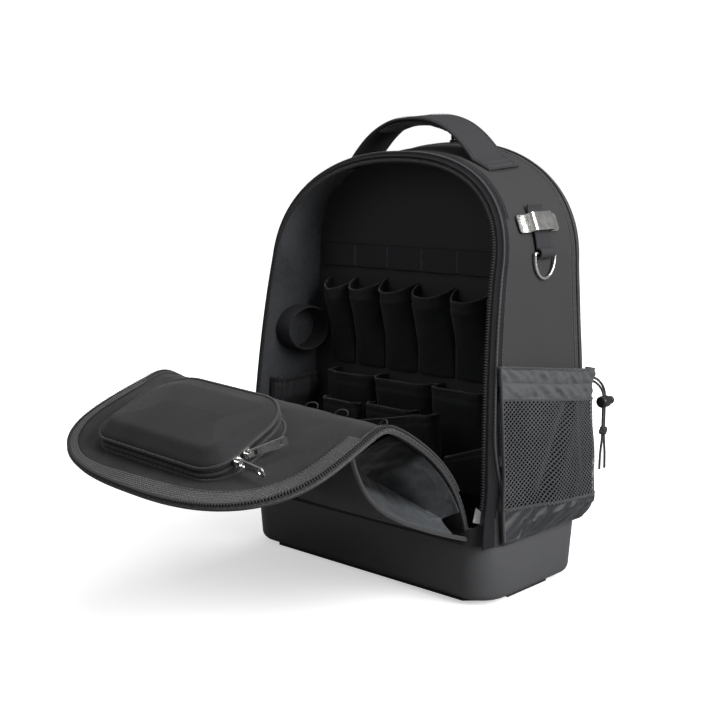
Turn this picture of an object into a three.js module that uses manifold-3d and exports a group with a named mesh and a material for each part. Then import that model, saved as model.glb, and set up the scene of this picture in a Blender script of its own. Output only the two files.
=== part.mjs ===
// Tool backpack standing open: a moulded tub carries an arched cloth body, and the front cover is
// folded out and down. Millimetres, +Z up, the front faces -Y, the mesh pocket is on the +X side.
// The origin is the middle of the foot plate's flat underside.
import * as THREE from 'three';
import { mergeVertices } from 'three/addons/utils/BufferGeometryUtils.js';
import Module from 'manifold-3d';

const wasm = await Module();
wasm.setup();

// Driving dimensions

const fit = 0.3; // left between two pieces that touch
const foot = { thickness: 4, edgeGap: 9, sideShare: 0.46, sideNotch: 14, corner: 26 };
const tub = { width: 340, depth: 169, height: 79, draft: 3.2, corner: 32, floorEdge: 8, wall: 3 };
const hem = { z: 63, cloth: 2.1 };
const arch = { springHalf: 156.6, springZ: 322.3, frontTop: 437.2, backTop: 448.8, power: 2.308 };
const front = { lean: 0.045, crown: 41.1, step: 4.35, settle: 45, face: -82.5 };
const back = { lean: -0.03, crown: 7.2, step: 9.65, settle: 60, face: 96.5 };
const lip = { width: 3.5, corner: 8, foot: 6, footZ: 93, footEnd: 122 };
const rearCorner = { radius: 14, settle: 80 };
const rearZip = { fromBack: 24, width: 7, thickness: 2.9 };
const frontZip = { width: 4, thickness: 1.8 };
const backPanel = { inset: 25 };
const backPad = { thickness: 8, inset: 40, low: 132, high: 0.9 };
const divider = { y: 20, thickness: 3, tubGap: 2 };
const strip = { top: 78, half: 163.8, ear: 7 };
const cover = { half: 145, crestHalf: 155, fullHalf: 158, length: 362, crest: 190, roundRise: 108,
  power: 2.6, thickness: 4, tilt: 0.042, zipWidth: 7, zipThickness: 3 };
const pouch = { half: 147, cloth: 3, lowZ: 67, length: 214, meet: 230, gussetCloth: 1.2, fold: 52,
  gussetTop: 0.74 };
const underPocket = { half: 122, from: 0.68, to: 0.92, depth: 12 };
const caseBox = { half: 88, middle: -9, from: 27, to: 134, corner: 26, backCorner: 43, farSeam: 17.4, nearSeam: 8.6,
  band: 5, farRise: 3.4, nearRise: 14, wall: 2.5, plateauInset: 17 };
const slider = { length: 7.4, width: 8, height: 3.2, post: 4, gap: 3.8, top: 1.1 };
const pull = { length: 35, width: 9, thickness: 1.5, bar: 1.9, side: 1.8 };
const handle = { span: 84, rise: 43, width: 50, y: 21, strap: 2.6, grip: 6.5, gripHalf: 46, tab: 20 };
const clip = { y: 13.5, length: 65, height: 18, thickness: 1.2, ear: 17, rise: 9, z: 368 };
const ring = { y: 14.5, half: 17, drop: 25, wire: 1.5, z: 340 };
const tape = { width: 24, cloth: 1.6, top: 384 };
const net = { front: -66, rear: 90, bandLow: 206, bandTop: 237, fall: 20, cloth: 1.4,
  stand: 4.4, belly: 15, hemLow: 66, columns: 9, rows: 7, open: 0.36 };
const cord = { diameter: 2.6, apart: 3.2 };
const lock = { length: 14, radius: 6.2, z: 181.5, button: 4.4, travel: 2.5 };
const knot = { radius: 5.6, z: 150.5 };
const label = { from: 143.5, width: 15, height: 16, thickness: 0.8 };
const wallLoop = { y: -16, z: 241, radius: 31, width: 22, cloth: 2.2, flat: 0.82 };
const gathered = { y: -19, half: 35, z: 146, height: 40, depth: 13, cloth: 1.5, ruffles: 9 };
const harness = { topX: 56, lowX: 84, footX: 98, width: 62, pad: 9, strap: 25, webbing: 2, top: 390,
  padLow: 222, low: 140, stand: 34 };

// Tables: lengths are shares of the named size that each row follows

// Slope of the cover along its length, in degrees above level, from its sewn foot to its tip
const coverSlopes = [
  { along: 0, slope: 72 },
  { along: 0.1, slope: 61 },
  { along: 0.2, slope: 49 },
  { along: 0.3, slope: 39.5 },
  { along: 0.42, slope: 31.5 },
  { along: 0.49, slope: 24 },
  { along: 0.525, slope: 0 },
  { along: 0.56, slope: -19 },
  { along: 0.75, slope: -20.5 },
  { along: 1, slope: -19 },
];

// Slope of the outer pouch panel along its length
const pouchSlopes = [
  { along: 0, slope: 19 },
  { along: 0.3, slope: 22 },
  { along: 0.45, slope: 24.5 },
  { along: 0.6, slope: 30 },
  { along: 0.72, slope: 41 },
  { along: 0.84, slope: 58 },
  { along: 1, slope: 70 },
];

// Tool sleeves on the divider: edges as shares of the half width, heights as shares of the body height
const sleeves = [
  { name: 'tool_sleeve_1', left: -0.86, right: -0.625, low: 0.37, high: 0.605, depth: 25, square: 2.1 },
  { name: 'tool_sleeve_2', left: -0.61, right: -0.34, low: 0.37, high: 0.61, depth: 28, square: 2.1 },
  { name: 'tool_sleeve_3', left: -0.325, right: -0.04, low: 0.37, high: 0.61, depth: 29, square: 2.1 },
  { name: 'tool_sleeve_4', left: -0.025, right: 0.29, low: 0.37, high: 0.605, depth: 29, square: 2.1 },
  { name: 'tool_sleeve_5', left: 0.305, right: 0.59, low: 0.37, high: 0.6, depth: 27, square: 2.1 },
  { name: 'tool_sleeve_6', left: 0.605, right: 0.86, low: 0.37, high: 0.6, depth: 25, square: 2.1 },
  { name: 'middle_pocket_1', left: -0.77, right: -0.34, low: 0.1, high: 0.35, depth: 30, square: 5 },
  { name: 'middle_pocket_2', left: -0.32, right: 0.18, low: 0.1, high: 0.35, depth: 30, square: 5 },
  { name: 'middle_pocket_3', left: 0.2, right: 0.66, low: 0.1, high: 0.35, depth: 30, square: 5 },
];

// Flat pockets in front of the middle row: front is how far the face stands before the divider
const flatPockets = [
  { name: 'low_pocket_1', left: -0.7, right: -0.37, low: 0.1, high: 0.275, rear: 29.7, depth: 16.3, tilt: 0 },
  { name: 'low_pocket_2', left: -0.28, right: 0.14, low: 0.1, high: 0.28, rear: 27.8, depth: 18.2, tilt: 0 },
  { name: 'large_pocket', left: -0.6, right: 0.42, low: 0.07, high: 0.21, rear: 46.8, depth: 22, tilt: 0.2 },
  { name: 'side_pocket', left: 0.45, right: 1.0475, low: 0.07, high: 0.17, rear: 31, depth: 24, tilt: 0.36 },
];

// Small helpers

const { sin, cos, abs, min, max, sqrt, sign, PI } = Math;
const lerp = (a, b, k) => a + (b - a) * k;
const clamp = (value, low, high) => min(max(value, low), high);
const radians = (degrees) => (degrees * PI) / 180;

function smooth(value) {
  const k = clamp(value, 0, 1);
  return k * k * (3 - 2 * k);
}

function add(a, b, scale = 1) {
  return [a[0] + b[0] * scale, a[1] + b[1] * scale, a[2] + b[2] * scale];
}

function cross(a, b) {
  return [a[1] * b[2] - a[2] * b[1], a[2] * b[0] - a[0] * b[2], a[0] * b[1] - a[1] * b[0]];
}

function unit(a) {
  const size = Math.hypot(a[0], a[1], a[2]) || 1;
  return [a[0] / size, a[1] / size, a[2] / size];
}

// Geometry from points and triangles, turned so that its faces point out
function solidFrom(points, faces) {
  let volume = 0;
  for (const [a, b, c] of faces) {
    const [p, q, r] = [points[a], points[b], points[c]];
    const n = cross(q, r);
    volume += p[0] * n[0] + p[1] * n[1] + p[2] * n[2];
  }
  const geometry = new THREE.BufferGeometry();
  geometry.setAttribute('position', new THREE.Float32BufferAttribute(points.flat(), 3));
  geometry.setIndex(faces.flatMap(([a, b, c]) => (volume < 0 ? [a, c, b] : [a, b, c])));
  return geometry;
}

function surfaceNormal(surface, u, v, round) {
  const step = 1e-3;
  const around = (k) => (round ? ((k % 1) + 1) % 1 : clamp(k, 0, 1));
  const along = add(surface(around(u + step), v), surface(around(u - step), v), -1);
  const up = add(surface(u, clamp(v + step, 0, 1)), surface(u, clamp(v - step, 0, 1)), -1);
  return unit(cross(along, up));
}

// A wall of the given thickness under a surface(u, v). round closes it on itself along u.
// pierce leaves a diamond hole in each cell, reaching this share of the cell from its middle.
function wall(surface, columns, rows, thickness, { round = false, pierce = 0 } = {}) {
  const points = [];
  const faces = [];
  const thick = typeof thickness === 'function' ? thickness : () => thickness;
  const put = (u, v) => {
    const top = surface(round ? ((u % 1) + 1) % 1 : u, v);
    const normal = surfaceNormal(surface, u, v, round);
    points.push(top, add(top, normal, -thick(u, v)));
    return points.length - 2;
  };
  const count = round ? columns : columns + 1;
  const grid = [];
  for (let i = 0; i < count; i += 1) {
    grid.push([]);
    for (let j = 0; j <= rows; j += 1) {
      grid[i].push(put(i / columns, j / rows));
    }
  }
  const both = (a, b, c) => faces.push([a, b, c], [a + 1, c + 1, b + 1]);
  const rim = (a, b) => faces.push([b, a, a + 1], [b, a + 1, b + 1]);
  for (let i = 0; i < columns; i += 1) {
    const left = grid[i];
    const right = grid[(i + 1) % count];
    for (let j = 0; j < rows; j += 1) {
      const ring4 = [left[j], right[j], right[j + 1], left[j + 1]];
      if (pierce) {
        const [mu, mv] = [(i + 0.5) / columns, (j + 0.5) / rows];
        const hole = [
          put(mu, mv - pierce / rows),
          put(mu + pierce / columns, mv),
          put(mu, mv + pierce / rows),
          put(mu - pierce / columns, mv),
        ];
        for (let k = 0; k < 4; k += 1) {
          const next = (k + 1) % 4;
          both(ring4[k], ring4[next], hole[k]);
          both(ring4[next], hole[next], hole[k]);
          rim(hole[next], hole[k]);
        }
      } else {
        both(ring4[0], ring4[1], ring4[2]);
        both(ring4[0], ring4[2], ring4[3]);
      }
    }
    rim(left[0], right[0]);
    rim(right[rows], left[rows]);
  }
  if (!round) {
    for (let j = 0; j < rows; j += 1) {
      rim(grid[0][j + 1], grid[0][j]);
      rim(grid[columns][j], grid[columns][j + 1]);
    }
  }
  return solidFrom(points, faces);
}

// A solid through rings of points, capped at both ends, or closed on itself like a torus
function loft(rings, { closed = false } = {}) {
  const points = [];
  const faces = [];
  const size = rings[0].length;
  rings.forEach((ringPoints) => points.push(...ringPoints));
  const last = closed ? rings.length : rings.length - 1;
  for (let r = 0; r < last; r += 1) {
    const next = (r + 1) % rings.length;
    for (let k = 0; k < size; k += 1) {
      const [a, b] = [r * size + k, r * size + ((k + 1) % size)];
      const [c, d] = [next * size + k, next * size + ((k + 1) % size)];
      faces.push([a, b, d], [a, d, c]);
    }
  }
  if (!closed) {
    for (const [row, flip] of [[0, true], [rings.length - 1, false]]) {
      const middle = [0, 0, 0];
      rings[row].forEach((p) => p.forEach((value, axis) => (middle[axis] += value / size)));
      points.push(middle);
      for (let k = 0; k < size; k += 1) {
        const [a, b] = [row * size + k, row * size + ((k + 1) % size)];
        faces.push(flip ? [points.length - 1, b, a] : [points.length - 1, a, b]);
      }
    }
  }
  return solidFrom(points, faces);
}

// Corner points of a rounded outline: each corner has its centre, radius and starting angle
function roundedOutline(corners, steps) {
  return corners.flatMap(({ x, y, radius, start }) => {
    const points = [];
    for (let k = 0; k <= steps; k += 1) {
      const angle = radians(start + (90 * k) / steps);
      points.push([x + radius * cos(angle), y + radius * sin(angle)]);
    }
    return points;
  });
}

function roundedRectangle(halfX, lowY, highY, radius, steps = 4) {
  return roundedOutline([
    { x: halfX - radius, y: highY - radius, radius, start: 0 },
    { x: -halfX + radius, y: highY - radius, radius, start: 90 },
    { x: -halfX + radius, y: lowY + radius, radius, start: 180 },
    { x: halfX - radius, y: lowY + radius, radius, start: 270 },
  ], steps);
}

// A round wire or cord along points, as a solid of the given number of sides
function wire(points, radius, sides, closed) {
  const count = points.length;
  const rings = points.map((p, index) => {
    const before = points[closed ? (index + count - 1) % count : max(index - 1, 0)];
    const after = points[closed ? (index + 1) % count : min(index + 1, count - 1)];
    const ahead = unit(add(after, before, -1));
    const side = unit(cross(ahead, abs(ahead[0]) > 0.9 ? [0, 1, 0] : [1, 0, 0]));
    const up = cross(ahead, side);
    return Array.from({ length: sides }, (_, k) => {
      const angle = (2 * PI * k) / sides;
      return add(add(p, side, radius * cos(angle)), up, radius * sin(angle));
    });
  });
  return loft(rings, { closed });
}

function toManifold(geometry) {
  const bare = geometry.clone();
  bare.deleteAttribute('normal');
  bare.deleteAttribute('uv');
  const merged = mergeVertices(bare, 1e-4);
  const index = merged.index.array;
  const position = merged.attributes.position.array;
  return new wasm.Manifold(new wasm.Mesh({
    numProp: 3,
    vertProperties: new Float32Array(position),
    triVerts: new Uint32Array(index),
  }));
}

function fromManifold(solid) {
  const mesh = solid.getMesh();
  const geometry = new THREE.BufferGeometry();
  geometry.setAttribute('position', new THREE.BufferAttribute(new Float32Array(mesh.vertProperties), 3));
  geometry.setIndex([...mesh.triVerts]);
  return geometry;
}

const join = (first, ...others) => fromManifold(
  others.reduce((solid, next) => solid.add(toManifold(next)), toManifold(first)));
const cut = (first, ...others) => fromManifold(
  others.reduce((solid, next) => solid.subtract(toManifold(next)), toManifold(first)));

function block(low, high) {
  const geometry = new THREE.BoxGeometry(high[0] - low[0], high[1] - low[1], high[2] - low[2]);
  geometry.translate((low[0] + high[0]) / 2, (low[1] + high[1]) / 2, (low[2] + high[2]) / 2);
  return geometry;
}

// Turns and moves a geometry so that its x, y and z run along the given directions from a point
function seat(geometry, origin, alongX, alongY, alongZ) {
  const [x, y, z] = [alongX, alongY, alongZ].map((a) => new THREE.Vector3(...unit(a)));
  const matrix = new THREE.Matrix4().makeBasis(x, y, z);
  matrix.setPosition(...origin);
  return geometry.applyMatrix4(matrix);
}

// Body shape: an arch in front view whose front and back faces lean and crown with height

const bodyHeight = arch.frontTop - hem.z;
const hemHalf = tub.width / 2 + fit + hem.cloth;
const up = (share) => hem.z + share * bodyHeight;
const across = (share) => share * arch.springHalf;

function leanedFace(face, z) {
  const share = (z - hem.z) / bodyHeight;
  const direction = sign(face.face);
  const step = direction * face.step * (1 - smooth((z - hem.z) / face.settle));
  const settled = face.face + face.lean * (z - hem.z) + face.crown * share ** 3;
  return face === back ? settled - step : settled + step;
}

const frontY = (z) => leanedFace(front, z);
const backY = (z) => leanedFace(back, z);
const wallHalf = (z) => lerp(hemHalf, arch.springHalf, (z - hem.z) / (arch.springZ - hem.z));
const frontCorner = (z) => lerp(tub.corner + hem.cloth, lip.corner, smooth((z - hem.z) / 110));
const backCorner = (z) => lerp(tub.corner + hem.cloth, rearCorner.radius,
  smooth((z - hem.z) / rearCorner.settle));
const lipWidth = (z) => lerp(lip.foot, lip.width, smooth((z - lip.footZ) / (lip.footEnd - lip.footZ)));
const sideShare = 5 / 28; // share of the arch's parameter on each straight side
const sidePower = 1.5; // rows of the straight sides lie closer near the hem

// Point of the arch's outline: t runs from the right hem over the top to the left hem
function archPoint(t, top, inset = 0) {
  const side = t < 0.5 ? 1 : -1;
  const k = 1 - abs(2 * t - 1);
  if (k <= 2 * sideShare) {
    const z = lerp(hem.z, arch.springZ, (k / (2 * sideShare)) ** sidePower);
    return { x: side * (wallHalf(z) - inset), z, side };
  }
  const angle = ((k - 2 * sideShare) / (1 - 2 * sideShare)) * (PI / 2);
  const x = (arch.springHalf - inset) * abs(cos(angle)) ** (2 / arch.power);
  const rise = (top - arch.springZ - inset) * abs(sin(angle)) ** (2 / arch.power);
  return { x: side * x, z: arch.springZ + rise, side };
}

// Point of the body at arch parameter t and depth y, this far inside the outer face
function bodyPoint(t, yOf, inset) {
  const height = archPoint(t, arch.frontTop).z;
  const [near, far] = [frontY(height), backY(height)];
  const y = yOf(height, near, far);
  const top = lerp(arch.frontTop, arch.backTop, (y - near) / (far - near));
  const place = archPoint(t, top, inset(height, y));
  return [place.x, y, place.z];
}

// Height of the body's top, or the x of its right wall, at a depth y
function roofZ(x, y) {
  const lift = (1 - min(abs(x) / arch.springHalf, 1) ** arch.power) ** (1 / arch.power);
  const height = lerp(arch.springZ, arch.frontTop, lift);
  const [near, far] = [frontY(height), backY(height)];
  const top = lerp(arch.frontTop, arch.backTop, (y - near) / (far - near));
  return lerp(arch.springZ, top, lift);
}

function wallX(y, z) {
  if (z <= arch.springZ) {
    return wallHalf(z);
  }
  let [low, high] = [0, arch.springHalf];
  for (let k = 0; k < 30; k += 1) {
    const middle = (low + high) / 2;
    [low, high] = roofZ(middle, y) > z ? [middle, high] : [low, middle];
  }
  return low;
}

// Direction out of the right wall at a height
function wallNormal(y, z) {
  const slope = (wallX(y, z + 1) - wallX(y, z - 1)) / 2;
  return unit([1, 0, -slope]);
}

// A flat or gently curved panel across the body from a height to the top of the arch
function crossPanel(yOf, inset, lowZ, thickness, rows, columns, highShare = 1) {
  const low = sideShare * clamp((lowZ - hem.z) / (arch.springZ - hem.z), 0, 1) ** (1 / sidePower);
  const high = 0.493 * highShare;
  const surface = (u, v) => {
    const t = lerp(low, high, v);
    const edge = bodyPoint(t, yOf, inset);
    return [lerp(-edge[0], edge[0], u), edge[1], edge[2]];
  };
  return wall(surface, columns, rows, thickness);
}

// Materials

const paint = (color, roughness, metalness = 0) => new THREE.MeshStandardMaterial({
  color, roughness, metalness,
});
const moulded = paint(0x1d1e20, 0.42);
const rubber = paint(0x18191a, 0.7);
const canvas = paint(0x17181a, 0.85);
const lining = paint(0x1b1d1f, 0.8);
const nylon = paint(0x2b2e33, 0.5);
const webbing = paint(0x121315, 0.75);
const teeth = paint(0x202124, 0.5);
const foam = paint(0x1a1b1d, 0.8);
const steel = paint(0xc9c9c6, 0.25, 1);
const paper = paint(0xeeeeec, 0.9);

const bag = new THREE.Group();

function piece(name, geometry, material) {
  const mesh = new THREE.Mesh(geometry, material);
  mesh.name = name;
  bag.add(mesh);
}

// Foot plate: a low cross that reaches the sides only along the middle of the depth

function footPlate() {
  const halfX = tub.width / 2 - tub.draft - foot.edgeGap;
  const halfY = tub.depth / 2 - tub.draft - foot.edgeGap;
  const armX = halfX - foot.sideNotch;
  const armY = halfY * foot.sideShare;
  const outline = new THREE.Shape();
  outline.moveTo(halfX, -armY);
  outline.lineTo(halfX, armY);
  outline.lineTo(armX, armY);
  outline.lineTo(armX, halfY - foot.corner / 2);
  outline.lineTo(armX - foot.corner / 2, halfY);
  outline.lineTo(-armX + foot.corner / 2, halfY);
  outline.lineTo(-armX, halfY - foot.corner / 2);
  outline.lineTo(-armX, armY);
  outline.lineTo(-halfX, armY);
  outline.lineTo(-halfX, -armY);
  outline.lineTo(-armX, -armY);
  outline.lineTo(-armX, -halfY + foot.corner / 2);
  outline.lineTo(-armX + foot.corner / 2, -halfY);
  outline.lineTo(armX - foot.corner / 2, -halfY);
  outline.lineTo(armX, -halfY + foot.corner / 2);
  outline.lineTo(armX, -armY);
  return new THREE.ExtrudeGeometry(outline, { depth: foot.thickness, bevelEnabled: false });
}

// Tub: drafted walls, a rounded floor edge, and a collar that the cloth hem closes over

function tubShell() {
  const collarSlack = 0.3;
  const floorZ = foot.thickness + fit;
  const halfX = (z) => tub.width / 2 - tub.draft * (1 - clamp((z - floorZ) / (hem.z - floorZ), 0, 1));
  const halfY = (z) => tub.depth / 2 - tub.draft * (1 - clamp((z - floorZ) / (hem.z - floorZ), 0, 1));
  const outline = (z, inset) => {
    const flat = halfX(z) - inset;
    const deep = halfY(z) - inset;
    return roundedRectangle(flat, -deep, deep, max(tub.corner - inset, 3), 3).map(([x, y]) => [x, y, z]);
  };
  const collar = (z, extra) => {
    const inset = hem.cloth + fit + collarSlack + extra;
    return roundedRectangle(wallHalf(z) - inset, frontY(z) + inset,
      min(backY(z), tub.depth / 2 + hem.cloth + fit) - inset, tub.corner - extra, 3)
      .map(([x, y]) => [x, y, z]);
  };
  const lift = (z, k) => z.map(([x, y]) => [x, y, k]);
  const edge = tub.floorEdge;
  const skin = [
    lift(outline(floorZ, edge), floorZ),
    lift(outline(floorZ, edge * 0.29), floorZ + edge * 0.29),
    outline(floorZ + edge, 0),
    outline(hem.z - 0.6, 0),
    collar(hem.z, 0),
    collar(tub.height, 0),
    collar(tub.height, tub.wall),
    collar(hem.z, tub.wall),
    outline(floorZ + edge, tub.wall),
    lift(outline(floorZ, edge + tub.wall), floorZ + tub.wall),
  ];
  return loft(skin);
}

// Cloth body: lip, rounded front corner and wall, up to the rear zip

const archSteps = 28;
const seamGap = 4 * fit; // between the rear zip and the cloth on both sides of it

// How far the wall has curved in at a depth y, near the front and back corners
function frontInset(z, y) {
  const radius = frontCorner(z);
  const over = frontY(z) + radius - y;
  return over <= 0 ? 0 : radius - sqrt(max(radius * radius - over * over, 0));
}

function rearInset(z, y) {
  const radius = backCorner(z);
  const over = y - (backY(z) - radius);
  return over <= 0 ? 0 : radius - sqrt(max(radius * radius - over * over, 0));
}

const sideX = (y, z) => wallX(y, z) - frontInset(z, y) - rearInset(z, y);

// From the lip's edge (k = 0) round the front corner to the start of the flat wall (k = 1)
function lipPlace(height, k) {
  const radius = frontCorner(height);
  const edge = lipWidth(height);
  const flat = max(edge - radius, 0);
  const start = edge < radius ? Math.asin(1 - edge / radius) : 0;
  const travel = k * (flat + radius * (PI / 2 - start));
  if (travel <= flat) {
    return { inset: edge - travel, y: frontY(height) };
  }
  const angle = start + (travel - flat) / radius;
  return { inset: radius * (1 - sin(angle)), y: frontY(height) + radius * (1 - cos(angle)) };
}

function bodyShell() {
  const cornerSteps = 3;
  const wallSteps = 4;
  const steps = cornerSteps + wallSteps;
  const place = (height, step) => {
    if (step <= cornerSteps) {
      return lipPlace(height, step / cornerSteps);
    }
    const start = frontY(height) + frontCorner(height);
    const end = backY(height) - rearZip.fromBack;
    const turn = min(backY(height) - backCorner(height), end - rearZip.width);
    const along = (step - cornerSteps) / (wallSteps - 1);
    const y = along <= 1 ? lerp(start, turn, along) : lerp(turn, end, (along - 1) * (wallSteps - 1));
    return { inset: rearInset(height, y), y };
  };
  const surface = (u, v) => {
    const spot = place(archPoint(u, arch.frontTop).z, v * steps);
    return bodyPoint(1 - u, () => spot.y, () => spot.inset);
  };
  return wall(surface, archSteps, steps, hem.cloth);
}

function rearZipBand() {
  const proud = rearZip.thickness - hem.cloth;
  const surface = (u, v) => {
    const start = rearZip.fromBack - seamGap;
    const depth = (height, near, far) => far - lerp(start, rearZip.fromBack - rearZip.width, v);
    return bodyPoint(1 - u, depth, (height, y) => rearInset(height, y) - proud);
  };
  return wall(surface, archSteps, 1, rearZip.thickness);
}

const backReach = (height) => max(backPanel.inset, backCorner(height) + 1);

// From the rear zip round the back corner onto the back face
function rearPlace(height, k) {
  const radius = backCorner(height);
  const cornerY = backY(height) - radius;
  const zipEnd = backY(height) - rearZip.fromBack + rearZip.width;
  const startY = zipEnd + seamGap + (hem.cloth + 2 * fit) * clamp((zipEnd - cornerY) / radius, 0, 1);
  const flat = max(cornerY - startY, 0);
  const start = Math.asin(clamp((startY - cornerY) / radius, 0, 1));
  const arc = radius * (PI / 2 - start);
  const travel = k * (flat + arc + backReach(height) - radius);
  if (travel <= flat) {
    return { inset: 0, y: startY + travel };
  }
  if (travel <= flat + arc) {
    const angle = start + (travel - flat) / radius;
    return { inset: radius * (1 - cos(angle)), y: cornerY + radius * sin(angle) };
  }
  return { inset: radius + travel - flat - arc, y: backY(height) };
}

function rearShell() {
  const surface = (u, v) => {
    const spot = rearPlace(archPoint(u, arch.frontTop).z, v);
    return bodyPoint(1 - u, () => spot.y, () => spot.inset);
  };
  return wall(surface, archSteps, 5, hem.cloth);
}

function frontZipBand() {
  const skipped = 1; // steps of the arch left out at each end, below the lip's foot
  const start = skipped / archSteps;
  const surface = (u, v) => {
    const t = lerp(start, 1 - start, u);
    const height = archPoint(t, arch.frontTop).z;
    const edge = lipPlace(height, 0);
    const lean = hem.cloth * max(1 - lipWidth(height) / frontCorner(height), 0);
    return bodyPoint(t, () => edge.y, () => edge.inset + 1.4 * lean + 5 * fit + v * frontZip.width);
  };
  return wall(surface, archSteps - 2 * skipped, 1, frontZip.thickness);
}

// Low strip between the hem and the cover's foot, bent round the front corners

function hemStrip() {
  const flatShare = 0.4; // share of the columns that lie on the flat face
  const earShare = 0.3; // share of the corner before the strip rises beside the cover
  const surface = (u, v) => {
    const side = 2 * u - 1;
    const reach = (abs(side) - flatShare) / (1 - flatShare);
    const rise = strip.ear * clamp((reach - earShare) / (1 - earShare) * 2, 0, 1);
    const z = lerp(hem.z, strip.top + rise, v);
    const radius = frontCorner(z);
    const flat = wallHalf(z) - radius;
    if (reach <= 0) {
      return [(side / flatShare) * flat, frontY(z), z];
    }
    const angle = reach * Math.asin((strip.half - flat) / radius);
    return [sign(side) * (flat + radius * sin(angle)), frontY(z) + radius * (1 - cos(angle)), z];
  };
  return wall(surface, 14, 2, hem.cloth);
}

// Cover: one padded panel that rises from its sewn foot, folds over a crest and droops

function spine(slopes, length, startY, startZ) {
  const samples = 120;
  const points = [{ y: startY, z: startZ }];
  for (let k = 0; k < samples; k += 1) {
    const share = (k + 0.5) / samples;
    const next = slopes.findIndex((row) => row.along > share);
    const [low, high] = [slopes[next - 1], slopes[next]];
    const slope = radians(lerp(low.slope, high.slope, (share - low.along) / (high.along - low.along)));
    const last = points[k];
    const run = length / samples;
    points.push({ y: last.y - cos(slope) * run, z: last.z + sin(slope) * run });
  }
  return (s) => {
    const place = clamp(s / length, 0, 1) * samples;
    const k = min(Math.floor(place), samples - 1);
    return { y: lerp(points[k].y, points[k + 1].y, place - k), z: lerp(points[k].z, points[k + 1].z, place - k) };
  };
}

const coverFoot = {
  y: frontY(strip.top) + hem.cloth,
  z: strip.top + fit + cover.thickness * cos(radians(coverSlopes[0].slope)),
};
const coverSpine = spine(coverSlopes, cover.length, coverFoot.y, coverFoot.z);

function coverPoint(x, s) {
  const place = coverSpine(s);
  return [x, place.y, place.z - cover.tilt * x * smooth(s / cover.crest)];
}

function coverNormal(x, s) {
  const across1 = add(coverPoint(x + 1, s), coverPoint(x - 1, s), -1);
  const along = add(coverPoint(x, min(s + 1, cover.length)), coverPoint(x, max(s - 1, 0)), -1);
  const normal = unit(cross(along, across1));
  return normal[2] < 0 ? normal.map((value) => -value) : normal;
}

// Half outline of the cover: q runs from its foot to the middle of its tip
function coverOutline(q, inset) {
  const straight = cover.length - cover.roundRise;
  const straightShare = 0.55;
  if (q <= straightShare) {
    const s = straight * (q / straightShare);
    const half = s < cover.crest
      ? lerp(cover.half, cover.crestHalf, s / cover.crest)
      : lerp(cover.crestHalf, cover.fullHalf, smooth((s - cover.crest) / (straight - cover.crest)));
    return { half: half - inset, s };
  }
  const angle = ((q - straightShare) / (1 - straightShare)) * (PI / 2);
  return {
    half: (cover.fullHalf - inset) * abs(cos(angle)) ** (2 / cover.power),
    s: straight + (cover.roundRise - inset) * abs(sin(angle)) ** (2 / cover.power),
  };
}

const coverSteps = 20; // steps of the outline from the foot to the tip

function coverPanel() {
  const rows = coverSteps - 1;
  const surface = (u, v) => {
    const { half, s } = coverOutline((v * rows) / coverSteps, cover.zipWidth + fit);
    return coverPoint(lerp(half, -half, u), s);
  };
  return wall(surface, 6, rows, cover.thickness);
}

function coverZip() {
  const surface = (u, v) => {
    const q = 1 - abs(2 * u - 1);
    const { half, s } = coverOutline(q, lerp(cover.zipWidth, 0, v));
    const side = u < 0.5 ? 1 : -1;
    return coverPoint(side * half, s);
  };
  return wall(surface, 2 * coverSteps, 1, cover.zipThickness);
}

// Outer pouch under the cover's rising half: a padded panel with two folded side gussets

const pouchSpine = spine(pouchSlopes, pouch.length, frontY(pouch.lowZ) - fit, pouch.lowZ + pouch.cloth + 1);

function pouchPoint(x, v) {
  const place = pouchSpine(v * pouch.length);
  const end = pouchSpine(pouch.length);
  const meet = add(coverPoint(x, pouch.meet), coverNormal(x, pouch.meet), -(cover.thickness + 4 * fit));
  const reach = v * v;
  return [x, place.y + (meet[1] - end.y) * reach, place.z + (meet[2] - end.z) * reach];
}

function pouchPanel() {
  return wall((u, v) => pouchPoint(lerp(pouch.half, -pouch.half, u), v), 4, 8, pouch.cloth);
}

function pouchGusset(side) {
  const lift = pouch.gussetCloth + 2.4 * fit;
  const surface = (u, v) => {
    const along = lerp(0.1, pouch.gussetTop, v);
    const x = side * (pouch.half - 3);
    const low = pouchPoint(x, along);
    low[2] += lift;
    const s = along * pouch.meet;
    const high = add(coverPoint(x, s), coverNormal(x, s), -(cover.thickness + lift));
    const fold = 1 - abs(2 * u - 1);
    const place = add(low, add(high, low, -1), u);
    place[0] -= side * pouch.fold * fold * sin(PI * clamp(along / pouch.gussetTop, 0, 1) * 0.8);
    return place;
  };
  return wall(surface, 4, 6, pouch.gussetCloth);
}

// Shallow outer pocket on the underside of the cover's drooping half
function hiddenPocket() {
  const edgeDepth = 1.5;
  const surface = (u, v) => {
    const x = lerp(underPocket.half, -underPocket.half, u);
    const s = cover.length * lerp(underPocket.from, underPocket.to, v);
    return add(coverPoint(x, s), coverNormal(x, s), -(cover.thickness + fit));
  };
  const depth = (u, v) => {
    const fromEdge = min(u, 1 - u, v * 0.6, (1 - v) * 0.6);
    return lerp(edgeDepth, underPocket.depth, smooth(fromEdge / 0.08));
  };
  return wall(surface, 6, 6, depth);
}

// Moulded case on the cover's inner face: a tray, a zip band and a lid with a raised plateau

const caseMiddle = (caseBox.from + caseBox.to) / 2;

// Point of the case: x across, along past the crest, and height over the cover
function casePoint(x, along, height) {
  const s = cover.crest + along;
  return add(coverPoint(x, s), coverNormal(0, cover.crest + caseMiddle), height);
}

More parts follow.
